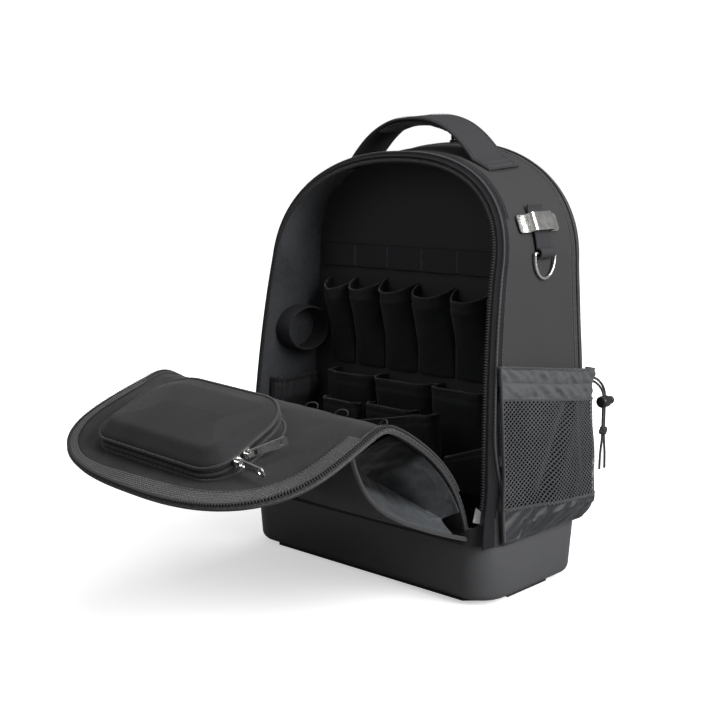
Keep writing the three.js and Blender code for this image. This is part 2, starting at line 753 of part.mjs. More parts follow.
function caseRing(inset, height) {
  const corner = max(caseBox.corner - inset, 2);
  const backCornerRadius = max(caseBox.backCorner - inset, 2);
  const [half, from, to] = [caseBox.half - inset, caseBox.from + inset, caseBox.to - inset];
  const outline = roundedOutline([
    { x: half - corner, y: to - corner, radius: corner, start: 0 },
    { x: -half + corner, y: to - corner, radius: corner, start: 90 },
    { x: -half + backCornerRadius, y: from + backCornerRadius, radius: backCornerRadius, start: 180 },
    { x: half - backCornerRadius, y: from + backCornerRadius, radius: backCornerRadius, start: 270 },
  ], 3);
  return outline.map(([x, along]) => casePoint(x + caseBox.middle, along,
    typeof height === 'function' ? height(along) : height));
}

// The seam that the zip closes is higher over the cover at the crest side than at the tip side
const caseShare = (along) => clamp((along - caseBox.from) / (caseBox.to - caseBox.from), 0, 1);
const caseSeam = (offset) => (along) => lerp(caseBox.farSeam, caseBox.nearSeam, caseShare(along)) + offset;

function caseTray() {
  const { wall: thick, band } = caseBox;
  const top = caseSeam(-band / 2 - fit);
  const foot1 = fit + 1.5;
  return loft([
    caseRing(2, fit),
    caseRing(0, foot1),
    caseRing(0, top),
    caseRing(thick, top),
    caseRing(thick, foot1 + 0.8),
    caseRing(thick + 2, fit + thick - 0.4),
  ]);
}

function caseZipBand() {
  const [low, high] = [caseSeam(-caseBox.band / 2), caseSeam(caseBox.band / 2)];
  return loft([caseRing(0.8, low), caseRing(0.8, high), caseRing(3, high), caseRing(3, low)], { closed: true });
}

function caseLid() {
  const { wall: thick, band, farRise, nearRise, plateauInset } = caseBox;
  const rim = caseSeam(band / 2 + fit);
  const level = (share, down = 0) => (along) => {
    const rise = lerp(farRise, nearRise, caseShare(along));
    return rim(along) + max(share * rise - down, share * 0.4);
  };
  return loft([
    caseRing(thick, rim),
    caseRing(0, rim),
    caseRing(1.2, level(0.38)),
    caseRing(6, level(0.72)),
    caseRing(plateauInset - 4, level(0.95)),
    caseRing(plateauInset + 2, level(1)),
    caseRing(plateauInset + 2, level(1, thick)),
    caseRing(plateauInset - 4, level(0.95, thick)),
    caseRing(6 + thick, level(0.6, thick * 0.8)),
    caseRing(1.2 + thick, level(0.2, 0)),
  ]);
}

// Zip sliders and their pulls. A slider's x runs along its pull at rest and its z stands off the cloth.

function sliderBody() {
  const { length, width, height, post, gap, top } = slider;
  const reach = gap / 2 + 1.2;
  const body = block([-length / 2, -width / 2, 0], [length / 2, width / 2, height]);
  const bridge = block([-reach, -post / 2, height - 0.5], [reach, post / 2, height + gap + top]);
  const tunnel = block([-gap / 2, -post, height], [gap / 2, post, height + gap]);
  return join(body, cut(bridge, tunnel));
}

function pullPlate(length) {
  const half = pull.width / 2;
  const shape = new THREE.Shape();
  shape.moveTo(-pull.bar / 2, -half + 1);
  shape.lineTo(length - 2, -half);
  shape.lineTo(length, -half + 2);
  shape.lineTo(length, half - 2);
  shape.lineTo(length - 2, half);
  shape.lineTo(-pull.bar / 2, half - 1);
  const hole = (from, to, reach) => {
    const path = new THREE.Path();
    path.moveTo(from, -reach);
    path.lineTo(from, reach);
    path.lineTo(to, reach);
    path.lineTo(to, -reach);
    shape.holes.push(path);
  };
  hole(pull.bar / 2, pull.bar / 2 + 6.2, half - pull.side);
  hole(length - 7.5, length - 5, half - 2.2);
  const plate = new THREE.ExtrudeGeometry(shape, { depth: pull.thickness, bevelEnabled: false });
  plate.translate(0, 0, -pull.thickness / 2);
  return plate;
}

// Adds a slider on a surface point and its pull, turned about the slider's y by this many degrees
function addZipEnd(name, origin, alongX, alongZ, angle, length) {
  const z = unit(alongZ);
  const y = unit(cross(z, alongX));
  const x = cross(y, z);
  piece(`${name}_slider`, seat(sliderBody(), origin, x, y, z), steel);
  const turn = radians(angle);
  const pullX = add(x.map((value) => value * cos(turn)), z, sin(turn));
  const pivot = add(origin, z, slider.height + slider.gap / 2);
  piece(`${name}_pull`, seat(pullPlate(length), pivot, pullX, y, cross(pullX, y)), steel);
}

// Handle: a wide strap that arches over the top, with a padded grip under it

function handleTop(x, y) {
  const seatHeight = (fit + handle.strap) * 1.25;
  const reach = abs(x) / handle.span;
  const foot1 = roofZ(handle.span, y) + seatHeight;
  return reach >= 1 ? roofZ(x, y) + seatHeight : foot1 + handle.rise * (1 - reach ** 2.4);
}

function handleSurface(half, inset, drop) {
  return (u, v) => {
    const x = lerp(-half, half, u);
    const y = handle.y + lerp(-1, 1, v) * (handle.width / 2 - inset);
    return [x, y, handleTop(x, y) - drop];
  };
}

function handleStrap() {
  return wall(handleSurface(handle.span + handle.tab, 0, 0), 18, 2, handle.strap);
}

function handleGrip() {
  const surface = handleSurface(handle.gripHalf, 3, handle.strap * 1.2 + fit);
  const depth = (u, v) => handle.grip * (0.45 + 0.55 * sin(PI * clamp(v, 0.02, 0.98)))
    * (0.5 + 0.5 * smooth(min(u, 1 - u) * 6));
  return wall(surface, 8, 4, depth);
}

// Bracket and hanging ring on the right wall

function tapeClip() {
  const { length, thickness, ear, rise, height } = clip;
  const half = length / 2;
  const mid = half - ear;
  const ramp = 2.5;
  const outer = [[-half, thickness], [-mid - ramp, thickness], [-mid, rise], [mid, rise], [mid + ramp, thickness],
    [half, thickness]];
  const inner = [[half, 0], [mid + ramp - thickness, 0], [mid - thickness, rise - thickness],
    [-mid + thickness, rise - thickness], [-mid - ramp + thickness, 0], [-half, 0]];
  const shape = new THREE.Shape([...outer, ...inner].map(([a, b]) => new THREE.Vector2(a, b)));
  const plate = new THREE.ExtrudeGeometry(shape, { depth: height, bevelEnabled: false });
  plate.translate(0, 0, -height / 2);
  const normal = wallNormal(clip.y, clip.z);
  const origin = add([wallX(clip.y, clip.z), clip.y, clip.z], normal, 1.4 * fit);
  return seat(plate, origin, [0, 1, 0], normal, cross([0, 1, 0], normal));
}

const eye = { hole: ring.wire + 2 * fit, outer: ring.wire + 2 * fit + tape.cloth };
const ringX = wallX(ring.y, ring.z) + fit + eye.outer;

// Tape that hangs behind the bracket and ends in an eye round the ring's bar
function ringTape() {
  const rows = 5;
  const lowZ = ring.z + 1;
  const spots = Array.from({ length: rows + 1 }, (_, k) => lerp(tape.top, lowZ, k / rows));
  const line = (offset) => spots.map((z) => {
    const normal = wallNormal(ring.y, z);
    return new THREE.Vector2(wallX(ring.y, z) + normal[0] * offset, z + normal[2] * offset);
  });
  const shape = new THREE.Shape([...line(2 * fit), ...line(2 * fit + tape.cloth).reverse()]);
  const strap = new THREE.ExtrudeGeometry(shape, { depth: tape.width, bevelEnabled: false });
  const collarShape = new THREE.Shape();
  collarShape.absarc(ringX, ring.z, eye.outer, 0, 2 * PI);
  const collar = new THREE.ExtrudeGeometry(collarShape, { depth: tape.width, bevelEnabled: false, curveSegments: 8 });
  const holeShape = new THREE.Shape();
  holeShape.absarc(ringX, ring.z, eye.hole, 0, 2 * PI);
  const hole = new THREE.ExtrudeGeometry(holeShape, { depth: tape.width + 2, bevelEnabled: false, curveSegments: 8 });
  hole.translate(0, 0, -1);
  const origin = [0, ring.y + tape.width / 2, 0];
  return seat(cut(join(strap, collar), hole), origin, [1, 0, 0], [0, 0, 1], [0, -1, 0]);
}

function hangingRing() {
  const points = [];
  const steps = 12;
  for (let k = 0; k <= steps; k += 1) {
    const angle = PI * (k / steps);
    points.push([ringX, ring.y + ring.half * cos(angle), ring.z - ring.drop * sin(angle) ** 0.85]);
  }
  for (const share of [-0.5, 0, 0.5]) {
    points.push([ringX, ring.y + ring.half * share, ring.z]);
  }
  return wire(points, ring.wire, 6, true);
}

// Net pocket on the right wall: belly and rear are how far it stands off, up is a share of its height

const netRows = [
  { up: 0, belly: 0.15, rear: 0.44 },
  { up: 0.12, belly: 0.95, rear: 1.05 },
  { up: 0.3, belly: 0.7, rear: 0.55 },
  { up: 0.6, belly: 0.5, rear: 0.35 },
  { up: 0.85, belly: 0.6, rear: 0.4 },
  { up: 1, belly: 0.85, rear: 0.65 },
];

function netOffset(share, upShare) {
  const next = clamp(netRows.findIndex((row) => row.up >= upShare), 1, netRows.length - 1);
  const [low, high] = [netRows[next - 1], netRows[next]];
  const k = clamp((upShare - low.up) / (high.up - low.up), 0, 1);
  const belly = lerp(low.belly, high.belly, k) * net.belly;
  const rear = lerp(low.rear, high.rear, k) * net.belly;
  const peak = 0.66;
  const bulge = share < peak ? belly * smooth(share / peak) : lerp(belly, rear, smooth((share - peak) / (1 - peak)));
  return net.stand + bulge;
}

const netTop = (share) => net.bandTop - net.fall * share;
const netTurn = 0.92; // share of the width before the net turns in to the back corner
const seamStand = 2.8;

// Point of the pocket: across runs from its front seam to its rear seam
function netPoint(across1, z) {
  const share = min(across1 / netTurn, 1);
  const y = lerp(net.front, net.rear, share);
  const upShare = (z - net.hemLow) / (netTop(share) - net.hemLow);
  const spot = [sideX(min(y, backY(z) - 2), z) + netOffset(share, upShare), y, z];
  if (across1 <= netTurn) {
    return spot;
  }
  const radius = backCorner(z);
  const corner = radius * (1 - cos(PI / 4));
  const seam = [wallX(0, z) - corner + seamStand, backY(z) - corner + seamStand, z];
  return add(spot, add(seam, spot, -1), (across1 - netTurn) / (1 - netTurn));
}

function netPanel(low, high, columns, rows, thickness, pierce) {
  const surface = (u, v) => netPoint(u, lerp(low(min(u / netTurn, 1)), high(min(u / netTurn, 1)), v));
  return wall(surface, columns, rows, thickness, { pierce });
}

const netLow = (share) => lerp(99, 90, share);
const bandLow = (share) => netTop(share) - (net.bandTop - net.bandLow);

// Drawcord: two strands leave the band's rear end, pass the lock and the knot and hang side by side

const strandPoints = [
  [168.3, 89.6, 203.5], [169.5, 92.4, 203.3], [172.2, 95.6, 201.1], [175.6, 98.5, 196.3], [178, 99.9, 190.1],
  [178.3, 100, 183.5], [178.3, 100, 176.5], [178.3, 100, 169.5], [178.3, 100, 162.5], [178.3, 100, 155.5],
  [178.3, 100, 148.5], [178.3, 99.9, 142.5], [177.9, 99.4, 135.5], [177.5, 98.8, 127.5], [177.3, 98.4, 118.5],
  [177.3, 98.2, 109.5],
];
const twinPoints = [
  [168.3, 89.6, 207.1], [169.8, 93.4, 206.8], [172.8, 97.8, 204.1], [176.2, 101.6, 197.9], [178, 103, 190.5],
  [178.3, 103.2, 183.5], [178.3, 103.2, 176.5], [178.3, 103.2, 169.5], [178.3, 103.2, 162.5], [178.3, 103.2, 155.5],
  [178.3, 103.2, 148.5], [178.3, 103.8, 142.5], [178.1, 105, 135.5], [177.9, 106.4, 127.5], [177.7, 107.2, 118.5],
  [177.7, 107.4, 109.5],
];

function strand(route, radius, sides) {
  const curve = new THREE.CatmullRomCurve3(route.map((p) => new THREE.Vector3(...p)));
  const circle = new THREE.Shape();
  for (let k = 0; k < sides; k += 1) {
    const angle = (2 * PI * k) / sides;
    const [x, y] = [radius * cos(angle), radius * sin(angle)];
    if (k === 0) {
      circle.moveTo(x, y);
    } else {
      circle.lineTo(x, y);
    }
  }
  return new THREE.ExtrudeGeometry(circle, { steps: 15, bevelEnabled: false, extrudePath: curve });
}

const lockY = 100 + cord.apart / 2;
const hangX = 178.3;

function lockBarrel() {
  const { length, radius, button } = lock;
  const half = length / 2;
  const profile = [[0, -half], [radius * 0.7, -half], [radius, -half * 0.6], [radius, half * 0.6],
    [radius * 0.75, half], [button * 0.7, half], [button * 0.7, half - 3.4], [0, half - 3.4]];
  const body = new THREE.LatheGeometry(profile.map(([x, y]) => new THREE.Vector2(x, y)), 10);
  const slotY = cord.apart / 2 + cord.diameter / 2 + fit;
  const slotX = cord.diameter / 2 + fit;
  const slot = block([-slotX, -slotY, -radius - 1], [slotX, slotY, radius + 1]);
  return seat(cut(body, slot), [hangX, lockY, lock.z], [1, 0, 0], [0, 1, 0], [0, 0, 1]);
}

function lockButton() {
  const { length, button, travel } = lock;
  const half = length / 2;
  const gap = travel + 0.4;
  const profile = [[0, half - 0.7], [button * 0.6, half - 0.7], [button * 0.6, half + gap],
    [button * 0.85, half + gap], [button, half + gap + 1.2], [button, half + gap + 3],
    [button * 0.7, half + gap + 4.4], [0, half + gap + 4.4]];
  const body = new THREE.LatheGeometry(profile.map(([x, y]) => new THREE.Vector2(x, y)), 10);
  return seat(body, [hangX, lockY, lock.z], [1, 0, 0], [0, 1, 0], [0, 0, 1]);
}

function cordKnot() {
  const ball = new THREE.SphereGeometry(knot.radius, 8, 5);
  ball.scale(0.85, 1.05, 0.9);
  ball.translate(hangX, lockY, knot.z);
  const hole = cord.diameter / 2 + fit;
  return cut(ball, strand(strandPoints, hole, 8), strand(twinPoints, hole, 8));
}

// Pockets inside the main compartment

const pocketCloth = 1.5;

function pocket(row, rearY, depth) {
  const slant = (x) => (row.tilt ?? 0) * (x - across(row.left));
  const surface = (u, v) => {
    const angle = PI * (1 - u);
    const middle = (row.left + row.right) / 2;
    const half = (row.right - row.left) / 2;
    const x = across(middle + half * sign(cos(angle)) * abs(cos(angle)) ** (2 / row.square));
    const swell = 0.1 + 0.9 * smooth(v / 0.4 + 0.05);
    const y = rearY - 2 * fit - depth * swell * abs(sin(angle)) ** (2 / row.square);
    return [x, y, lerp(up(row.low), up(row.high) + slant(x), v)];
  };
  return wall(surface, 8, 2, pocketCloth);
}

function webbingStrip() {
  const [low, high] = [up(0.665), up(0.73)];
  const half = across(0.93);
  const surface = (u, v) => {
    const loop = 1.6 * abs(sin(PI * u * 6));
    return [lerp(-half, half, u), divider.y - fit - 1.8 - loop, lerp(low, high, v)];
  };
  return wall(surface, 18, 1, 1.8);
}

function leftLoop() {
  const surface = (u, v) => {
    const angle = 2 * PI * u;
    const z = wallLoop.z + wallLoop.radius * wallLoop.flat * sin(angle);
    const y = wallLoop.y + wallLoop.radius * cos(angle);
    return [-(wallHalf(z) - hem.cloth - fit - 0.4) + wallLoop.width * v, y, z];
  };
  return wall(surface, 16, 1, wallLoop.cloth, { round: true });
}

function gatheredPocket() {
  const surface = (u, v) => {
    const angle = PI * u;
    const y = gathered.y - gathered.half * sign(cos(angle)) * abs(cos(angle)) ** 0.5;
    const z = gathered.z + gathered.height * v;
    const ruffle = 1.1 * cos(2 * PI * u * gathered.ruffles) * v;
    const stand = gathered.depth * (0.25 + 0.75 * smooth(v * 2)) * abs(sin(angle)) ** 0.5;
    return [-(wallHalf(z) - hem.cloth - fit) + stand + ruffle * abs(sin(angle)), y, z];
  };
  return wall(surface, 24, 2, gathered.cloth);
}

function whiteLabel() {
  const surface = (u, v) => {
    const x = label.from + label.width * u;
    const z = strip.top + 4 + label.height * v;
    return [x, frontY(z) + frontInsetAt(x, z) + hem.cloth + 2.5 * fit + 2 * v * (1 - v), z];
  };
  return wall(surface, 4, 2, label.thickness);
}

// How far the front face has curved back at an x near the corner
function frontInsetAt(x, z) {
  const radius = frontCorner(z);
  const over = abs(x) - (wallHalf(z) - radius);
  return over <= 0 ? 0 : radius - sqrt(max(radius * radius - over * over, 0));
}

// Shoulder straps and their lower webbing

function strapPad(side) {
  const surface = (u, v) => {
    const z = lerp(harness.top, harness.padLow, v);
    const x = side * lerp(harness.topX, harness.lowX, v);
    const away = backPad.thickness + 4 * fit + harness.stand * sin(PI * v) ** 2;
    return [x + lerp(-0.5, 0.5, u) * harness.width, backY(z) + away + harness.pad, z];
  };
  return wall(surface, 2, 12, harness.pad);
}

function strapWebbing(side) {
  const surface = (u, v) => {
    const z = lerp(harness.padLow - fit, harness.low, v);
    const x = side * lerp(harness.lowX, harness.footX, v);
    const away = backPad.thickness + 4 * fit + harness.webbing + ((harness.pad - harness.webbing) / 2) * (1 - v);
    return [x + lerp(-0.5, 0.5, u) * harness.strap, backY(z) + away, z];
  };
  return wall(surface, 2, 6, harness.webbing);
}

// Assembly

piece('foot_plate', footPlate(), rubber);
piece('moulded_tub', tubShell(), moulded);
piece('body_shell', bodyShell(), canvas);
piece('front_zip', frontZipBand(), teeth);
piece('rear_zip', rearZipBand(), teeth);
piece('rear_shell', rearShell(), canvas);
piece('back_panel', crossPanel((h, near, far) => far - hem.cloth, (h) => backReach(h) + 4 * fit + 3 * (1 - smooth((h - hem.z) / 100)),
  hem.z, hem.cloth, 10, 5), foam);
piece('back_pad', crossPanel((h, near, far) => far + 2 * fit, () => backPad.inset,
  backPad.low, backPad.thickness, 8, 3, backPad.high), foam);
piece('divider_panel', crossPanel(() => divider.y, () => hem.cloth + 3 * fit,
  tub.height + divider.tubGap, divider.thickness, 12, 2), lining);
piece('hem_strip', hemStrip(), canvas);
piece('cover_panel', coverPanel(), canvas);
piece('cover_zip', coverZip(), teeth);
piece('pouch_panel', pouchPanel(), canvas);
piece('pouch_gusset_right', pouchGusset(1), nylon);
piece('pouch_gusset_left', pouchGusset(-1), nylon);
piece('under_pocket', hiddenPocket(), canvas);
piece('case_tray', caseTray(), foam);
piece('case_zip', caseZipBand(), teeth);
piece('case_lid', caseLid(), foam);
piece('handle_strap', handleStrap(), webbing);
piece('handle_grip', handleGrip(), webbing);
piece('tape_clip', tapeClip(), steel);
piece('ring_tape', ringTape(), webbing);
piece('d_ring', hangingRing(), steel);
piece('net_band', netPanel((k) => bandLow(k) + fit, netTop, 10, 2, net.cloth, 0), nylon);
piece('net_panel', netPanel((k) => netLow(k) + fit, bandLow, net.columns, net.rows, net.cloth, net.open), nylon);
piece('net_hem', netPanel(() => net.hemLow, netLow, 10, 2, net.cloth, 0), nylon);
piece('drawcord_strand_1', strand(strandPoints, cord.diameter / 2, 8), webbing);
piece('drawcord_strand_2', strand(twinPoints, cord.diameter / 2, 8), webbing);
piece('cord_lock', lockBarrel(), moulded);
piece('cord_lock_button', lockButton(), moulded);
piece('cord_knot', cordKnot(), webbing);
sleeves.forEach((row) => piece(row.name, pocket(row, divider.y, row.depth), lining));
flatPockets.forEach((row) => piece(row.name, pocket({ ...row, square: 6 }, divider.y - row.rear, row.depth), lining));
piece('webbing_strip', webbingStrip(), webbing);
piece('wall_loop', leftLoop(), webbing);
piece('gathered_pocket', gatheredPocket(), lining);
piece('white_label', whiteLabel(), paper);
for (const [side, name] of [[1, 'right'], [-1, 'left']]) {
  piece(`shoulder_strap_${name}`, strapPad(side), foam);
  piece(`strap_webbing_${name}`, strapWebbing(side), webbing);
}

const caseNormal = coverNormal(0, cover.crest + caseMiddle);
const caseAlong = unit(add(coverPoint(0, cover.crest + caseMiddle + 1), coverPoint(0, cover.crest + caseMiddle), -1));
const caseAcross = cross(caseAlong, caseNormal).map((value, axis, all) => (all[0] < 0 ? -value : value));
for (const [name, along, angle] of [['case_zip_1', 109, 84], ['case_zip_2', 97, 150]]) {
  const bend = Math.asin(clamp((along - caseBox.to + caseBox.corner) / caseBox.corner, 0, 1));
  const edgeX = caseBox.middle + caseBox.half - caseBox.corner * (1 - cos(bend));
  const out = add(caseAcross.map((value) => value * cos(bend)), caseAlong, sin(bend));
  const tangent = add(caseAlong.map((value) => value * cos(bend)), caseAcross, -sin(bend));
  addZipEnd(name, add(casePoint(edgeX, along, caseSeam(0)(along)), out, fit), tangent, out, angle, pull.length);
}
const rearZipY = backY(arch.frontTop) - rearZip.fromBack + rearZip.width / 2;
const rearZipTop = bodyPoint(0.5, () => rearZipY, () => hem.cloth - rearZip.thickness - fit - 0.2);
const roofSlope = roofZ(0, rearZipY + 1) - roofZ(0, rearZipY);
addZipEnd('rear_zip', rearZipTop, [1, 0, 0], [0, -roofSlope, 1], -5, 26);

export default bag;
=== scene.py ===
"""Looks of a tool backpack that stands open on its moulded tub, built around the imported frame."""
from __future__ import annotations

import logging
import math
from dataclasses import dataclass, field
from enum import Enum
from typing import Callable, Optional, Sequence

import bmesh
import bpy
import numpy as np
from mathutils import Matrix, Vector, noise

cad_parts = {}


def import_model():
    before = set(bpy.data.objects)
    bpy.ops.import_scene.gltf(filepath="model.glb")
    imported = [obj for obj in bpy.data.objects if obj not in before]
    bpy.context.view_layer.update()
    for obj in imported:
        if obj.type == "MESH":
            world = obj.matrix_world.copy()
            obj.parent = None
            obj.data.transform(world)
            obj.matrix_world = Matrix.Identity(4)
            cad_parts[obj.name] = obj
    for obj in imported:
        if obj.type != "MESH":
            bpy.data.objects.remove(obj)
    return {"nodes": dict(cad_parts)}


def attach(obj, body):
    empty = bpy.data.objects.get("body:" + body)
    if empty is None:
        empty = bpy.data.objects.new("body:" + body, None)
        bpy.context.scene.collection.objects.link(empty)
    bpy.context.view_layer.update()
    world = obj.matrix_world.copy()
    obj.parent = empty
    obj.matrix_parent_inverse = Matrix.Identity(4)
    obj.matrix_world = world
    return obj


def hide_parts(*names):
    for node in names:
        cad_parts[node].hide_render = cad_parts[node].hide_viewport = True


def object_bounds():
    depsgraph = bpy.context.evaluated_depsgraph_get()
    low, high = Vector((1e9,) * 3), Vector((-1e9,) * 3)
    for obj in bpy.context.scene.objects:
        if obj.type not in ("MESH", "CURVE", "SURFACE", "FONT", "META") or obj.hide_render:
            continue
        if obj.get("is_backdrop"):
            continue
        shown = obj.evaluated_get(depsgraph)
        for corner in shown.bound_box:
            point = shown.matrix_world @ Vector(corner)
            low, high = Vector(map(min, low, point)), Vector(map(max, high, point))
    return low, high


LOG = logging.getLogger("tool_backpack")
MM = 0.001
Surface = Callable[[float, float], Sequence[float]]
Relief = Callable[[float, float], float]


def lerp(low: float, high: float, share: float) -> float:
    """Value a share of the way from low to high."""
    return low + (high - low) * share


def clamp(value: float, low: float = 0.0, high: float = 1.0) -> float:
    """Value kept between low and high."""
    return min(max(value, low), high)


def smooth(value: float) -> float:
    """Soft step from 0 to 1."""
    k = clamp(value)
    return k * k * (3 - 2 * k)


def bump(value: float, middle: float, width: float) -> float:
    """Soft hump of height 1 round a middle value."""
    return math.exp(-(((value - middle) / width) ** 2))


def ripple(x: float, y: float, z: float, size: float, seed: float = 0.0) -> float:
    """Smooth noise from about -1 to 1 whose features are as large as size, in mm."""
    return noise.noise(Vector((x / size + seed, y / size - seed, z / size + 2.3 * seed)))


# Meshes


def new_object(name: str, mesh: bpy.types.Mesh) -> bpy.types.Object:
    """Object at the origin that shows a mesh."""
    piece = bpy.data.objects.new(name, mesh)
    bpy.context.scene.collection.objects.link(piece)
    return piece


def mesh_from(
    name: str,
    points: np.ndarray,
    faces: Sequence[Sequence[int]],
    uv: Optional[np.ndarray] = None,
    sharp: float = 50.0,
) -> bpy.types.Object:
    """Smooth mesh from points in mm, turned so that its faces point out.

    Args:
        name: the piece's name.
        points: one row for each point, in mm.
        faces: corner numbers of each face.
        uv: place of each point on the cloth, in metres.
        sharp: angle in degrees past which an edge stays crisp.

    Returns:
        The piece's object.
    """
    corners = np.asarray(points, dtype=float)
    centre = corners.mean(axis=0)
    volume = 0.0
    for face in faces:
        p = corners[face[0]] - centre
        for k in range(1, len(face) - 1):
            q = corners[face[k]] - centre
            r = corners[face[k + 1]] - centre
            volume += float(np.dot(p, np.cross(q, r)))
    turned = [list(face)[::-1] for face in faces] if volume < 0 else [list(face) for face in faces]
    mesh = bpy.data.meshes.new(name)
    mesh.from_pydata((corners * MM).tolist(), [], turned)
    mesh.update()
    if uv is not None:
        layer = mesh.uv_layers.new(name="cloth")
        index = np.empty(len(mesh.loops), dtype=np.int32)
        mesh.loops.foreach_get("vertex_index", index)
        layer.data.foreach_set("uv", np.asarray(uv, dtype=np.float32)[index].ravel())
    mesh.shade_smooth()
    mesh.set_sharp_from_angle(angle=math.radians(sharp))
    return new_object(name, mesh)


def grid_normals(grid: np.ndarray, wrap: bool) -> np.ndarray:
    """Unit normals of a grid of points."""
    if wrap:
        along = np.roll(grid, -1, axis=0) - np.roll(grid, 1, axis=0)
    else:
        along = np.gradient(grid, axis=0)
    up = np.gradient(grid, axis=1)
    normals = np.cross(along, up)
    size = np.linalg.norm(normals, axis=2, keepdims=True)
    size[size < 1e-9] = 1.0
    return normals / size


@dataclass
class Shell:
    """Closed wall of cloth or plastic that lies under a surface and has a rounded rim.

    The wall lies on the side away from the surface's normal, as in the part's source.
    """

    surface: Surface
    columns: int
    rows: int
    thickness: float | Relief
    relief: Optional[Relief] = None
    wrap: bool = False
    rim: float = 0.3

    def build(self, name: str, sharp: float = 50.0) -> bpy.types.Object:
        """Lays out the grid, both faces and the rim.

        Args:
            name: the piece's name.
            sharp: angle in degrees past which an edge stays crisp.

        Returns:
            The piece's object, with a map of the cloth in metres.
        """
        count = self.columns if self.wrap else self.columns + 1
        shares = [(i / self.columns, j / self.rows) for i in range(count) for j in range(self.rows + 1)]
        grid = np.array([self.surface(u, v) for u, v in shares], dtype=float)
        grid = grid.reshape(count, self.rows + 1, 3)
        normals = grid_normals(grid, self.wrap)
        if self.relief is not None:
            lift = np.array([self.relief(u, v) for u, v in shares]).reshape(count, self.rows + 1, 1)
            grid = grid + normals * lift
            normals = grid_normals(grid, self.wrap)
        thick = self.thickness
        if callable(thick):
            depth = np.array([thick(u, v) for u, v in shares]).reshape(count, self.rows + 1, 1)
        else:
            depth = np.full((count, self.rows + 1, 1), float(thick))
        inner = grid - normals * depth
        cloth = self._cloth_map(grid)
        return self._close(name, grid, inner, depth, cloth, sharp)

    def _cloth_map(self, grid: np.ndarray) -> np.ndarray:
        """Length along both directions of the grid, in metres."""
        across = np.zeros(grid.shape[:2])
        across[1:] = np.cumsum(np.linalg.norm(np.diff(grid, axis=0), axis=2), axis=0)
        across -= across.mean(axis=0, keepdims=True)
        up = np.zeros(grid.shape[:2])
        up[:, 1:] = np.cumsum(np.linalg.norm(np.diff(grid, axis=1), axis=2), axis=1)
        return np.stack([across, up], axis=2) * MM

    def _rims(self) -> list[list[tuple[int, int]]]:
        """Grid places round each free edge, in order."""
        columns, rows = self.columns, self.rows
        if self.wrap:
            return [[(i, 0) for i in range(columns)], [(i, rows) for i in range(columns - 1, -1, -1)]]
        around = [(i, 0) for i in range(columns)]
        around += [(columns, j) for j in range(rows)]
        around += [(i, rows) for i in range(columns, 0, -1)]
        around += [(0, j) for j in range(rows, 0, -1)]
        return [around]

    def _close(
        self, name: str, outer: np.ndarray, inner: np.ndarray, depth: np.ndarray, cloth: np.ndarray,
        sharp: float
    ) -> bpy.types.Object:
        """Joins both faces with a rounded rim."""
        count, size = outer.shape[0], outer.shape[0] * outer.shape[1]
        place = lambda i, j: (i % count) * (self.rows + 1) + j
        points = np.concatenate([outer.reshape(-1, 3), inner.reshape(-1, 3)])
        maps = np.concatenate([cloth.reshape(-1, 2), cloth.reshape(-1, 2)])
        faces: list[list[int]] = []
        for i in range(self.columns):
            for j in range(self.rows):
                a, b, c, d = place(i, j), place(i + 1, j), place(i + 1, j + 1), place(i, j + 1)
                faces.append([a, b, c, d])
                faces.append([a + size, d + size, c + size, b + size])
        extra, extra_map = [], []
        for rim in self._rims():
            start = len(points) + len(extra)
            for i, j in rim:
                near = (i if self.wrap else min(max(i, 1), self.columns - 1), min(max(j, 1), self.rows - 1))
                out = outer[i, j] - outer[near]
                out = out / (np.linalg.norm(out) or 1.0)
                extra.append((outer[i, j] + inner[i, j]) / 2 + out * self.rim * depth[i, j])
                extra_map.append(cloth[i, j])
            total = len(rim)
            for k in range(total):
                following = (k + 1) % total
                p, q = place(*rim[k]), place(*rim[following])
                m, n = start + k, start + following
                faces.append([q, p, m, n])
                faces.append([n, m, p + size, q + size])
        points = np.concatenate([points, np.array(extra)])
        maps = np.concatenate([maps, np.array(extra_map)])
        return mesh_from(name, points, faces, maps, sharp)


def loft(name: str, rings: Sequence[np.ndarray], closed: bool = False,
         sharp: float = 40.0) -> bpy.types.Object:
    """Solid through rings of points in mm, capped at both ends unless it closes on itself."""
    size = len(rings[0])
    points = [p for ring in rings for p in ring]
    faces: list[list[int]] = []
    for r in range(len(rings) if closed else len(rings) - 1):
        following = (r + 1) % len(rings)
        for k in range(size):
            a, b = r * size + k, r * size + (k + 1) % size
            c, d = following * size + k, following * size + (k + 1) % size
            faces.append([a, b, d, c])
    if not closed:
        for row, flip in ((0, True), (len(rings) - 1, False)):
            middle = np.mean(rings[row], axis=0)
            points.append(middle)
            for k in range(size):
                a, b = row * size + k, row * size + (k + 1) % size
                faces.append([len(points) - 1, b, a] if flip else [len(points) - 1, a, b])
    around = np.zeros((len(points), 2))
    for r, ring in enumerate(rings):
        ring = np.asarray(ring)
        steps = np.linalg.norm(np.roll(ring, -1, axis=0) - ring, axis=1)
        around[r * size:(r + 1) * size, 0] = np.concatenate([[0], np.cumsum(steps)[:-1]]) * MM
        around[r * size:(r + 1) * size, 1] = r * 0.004
    return mesh_from(name, np.array(points), faces, around, sharp)


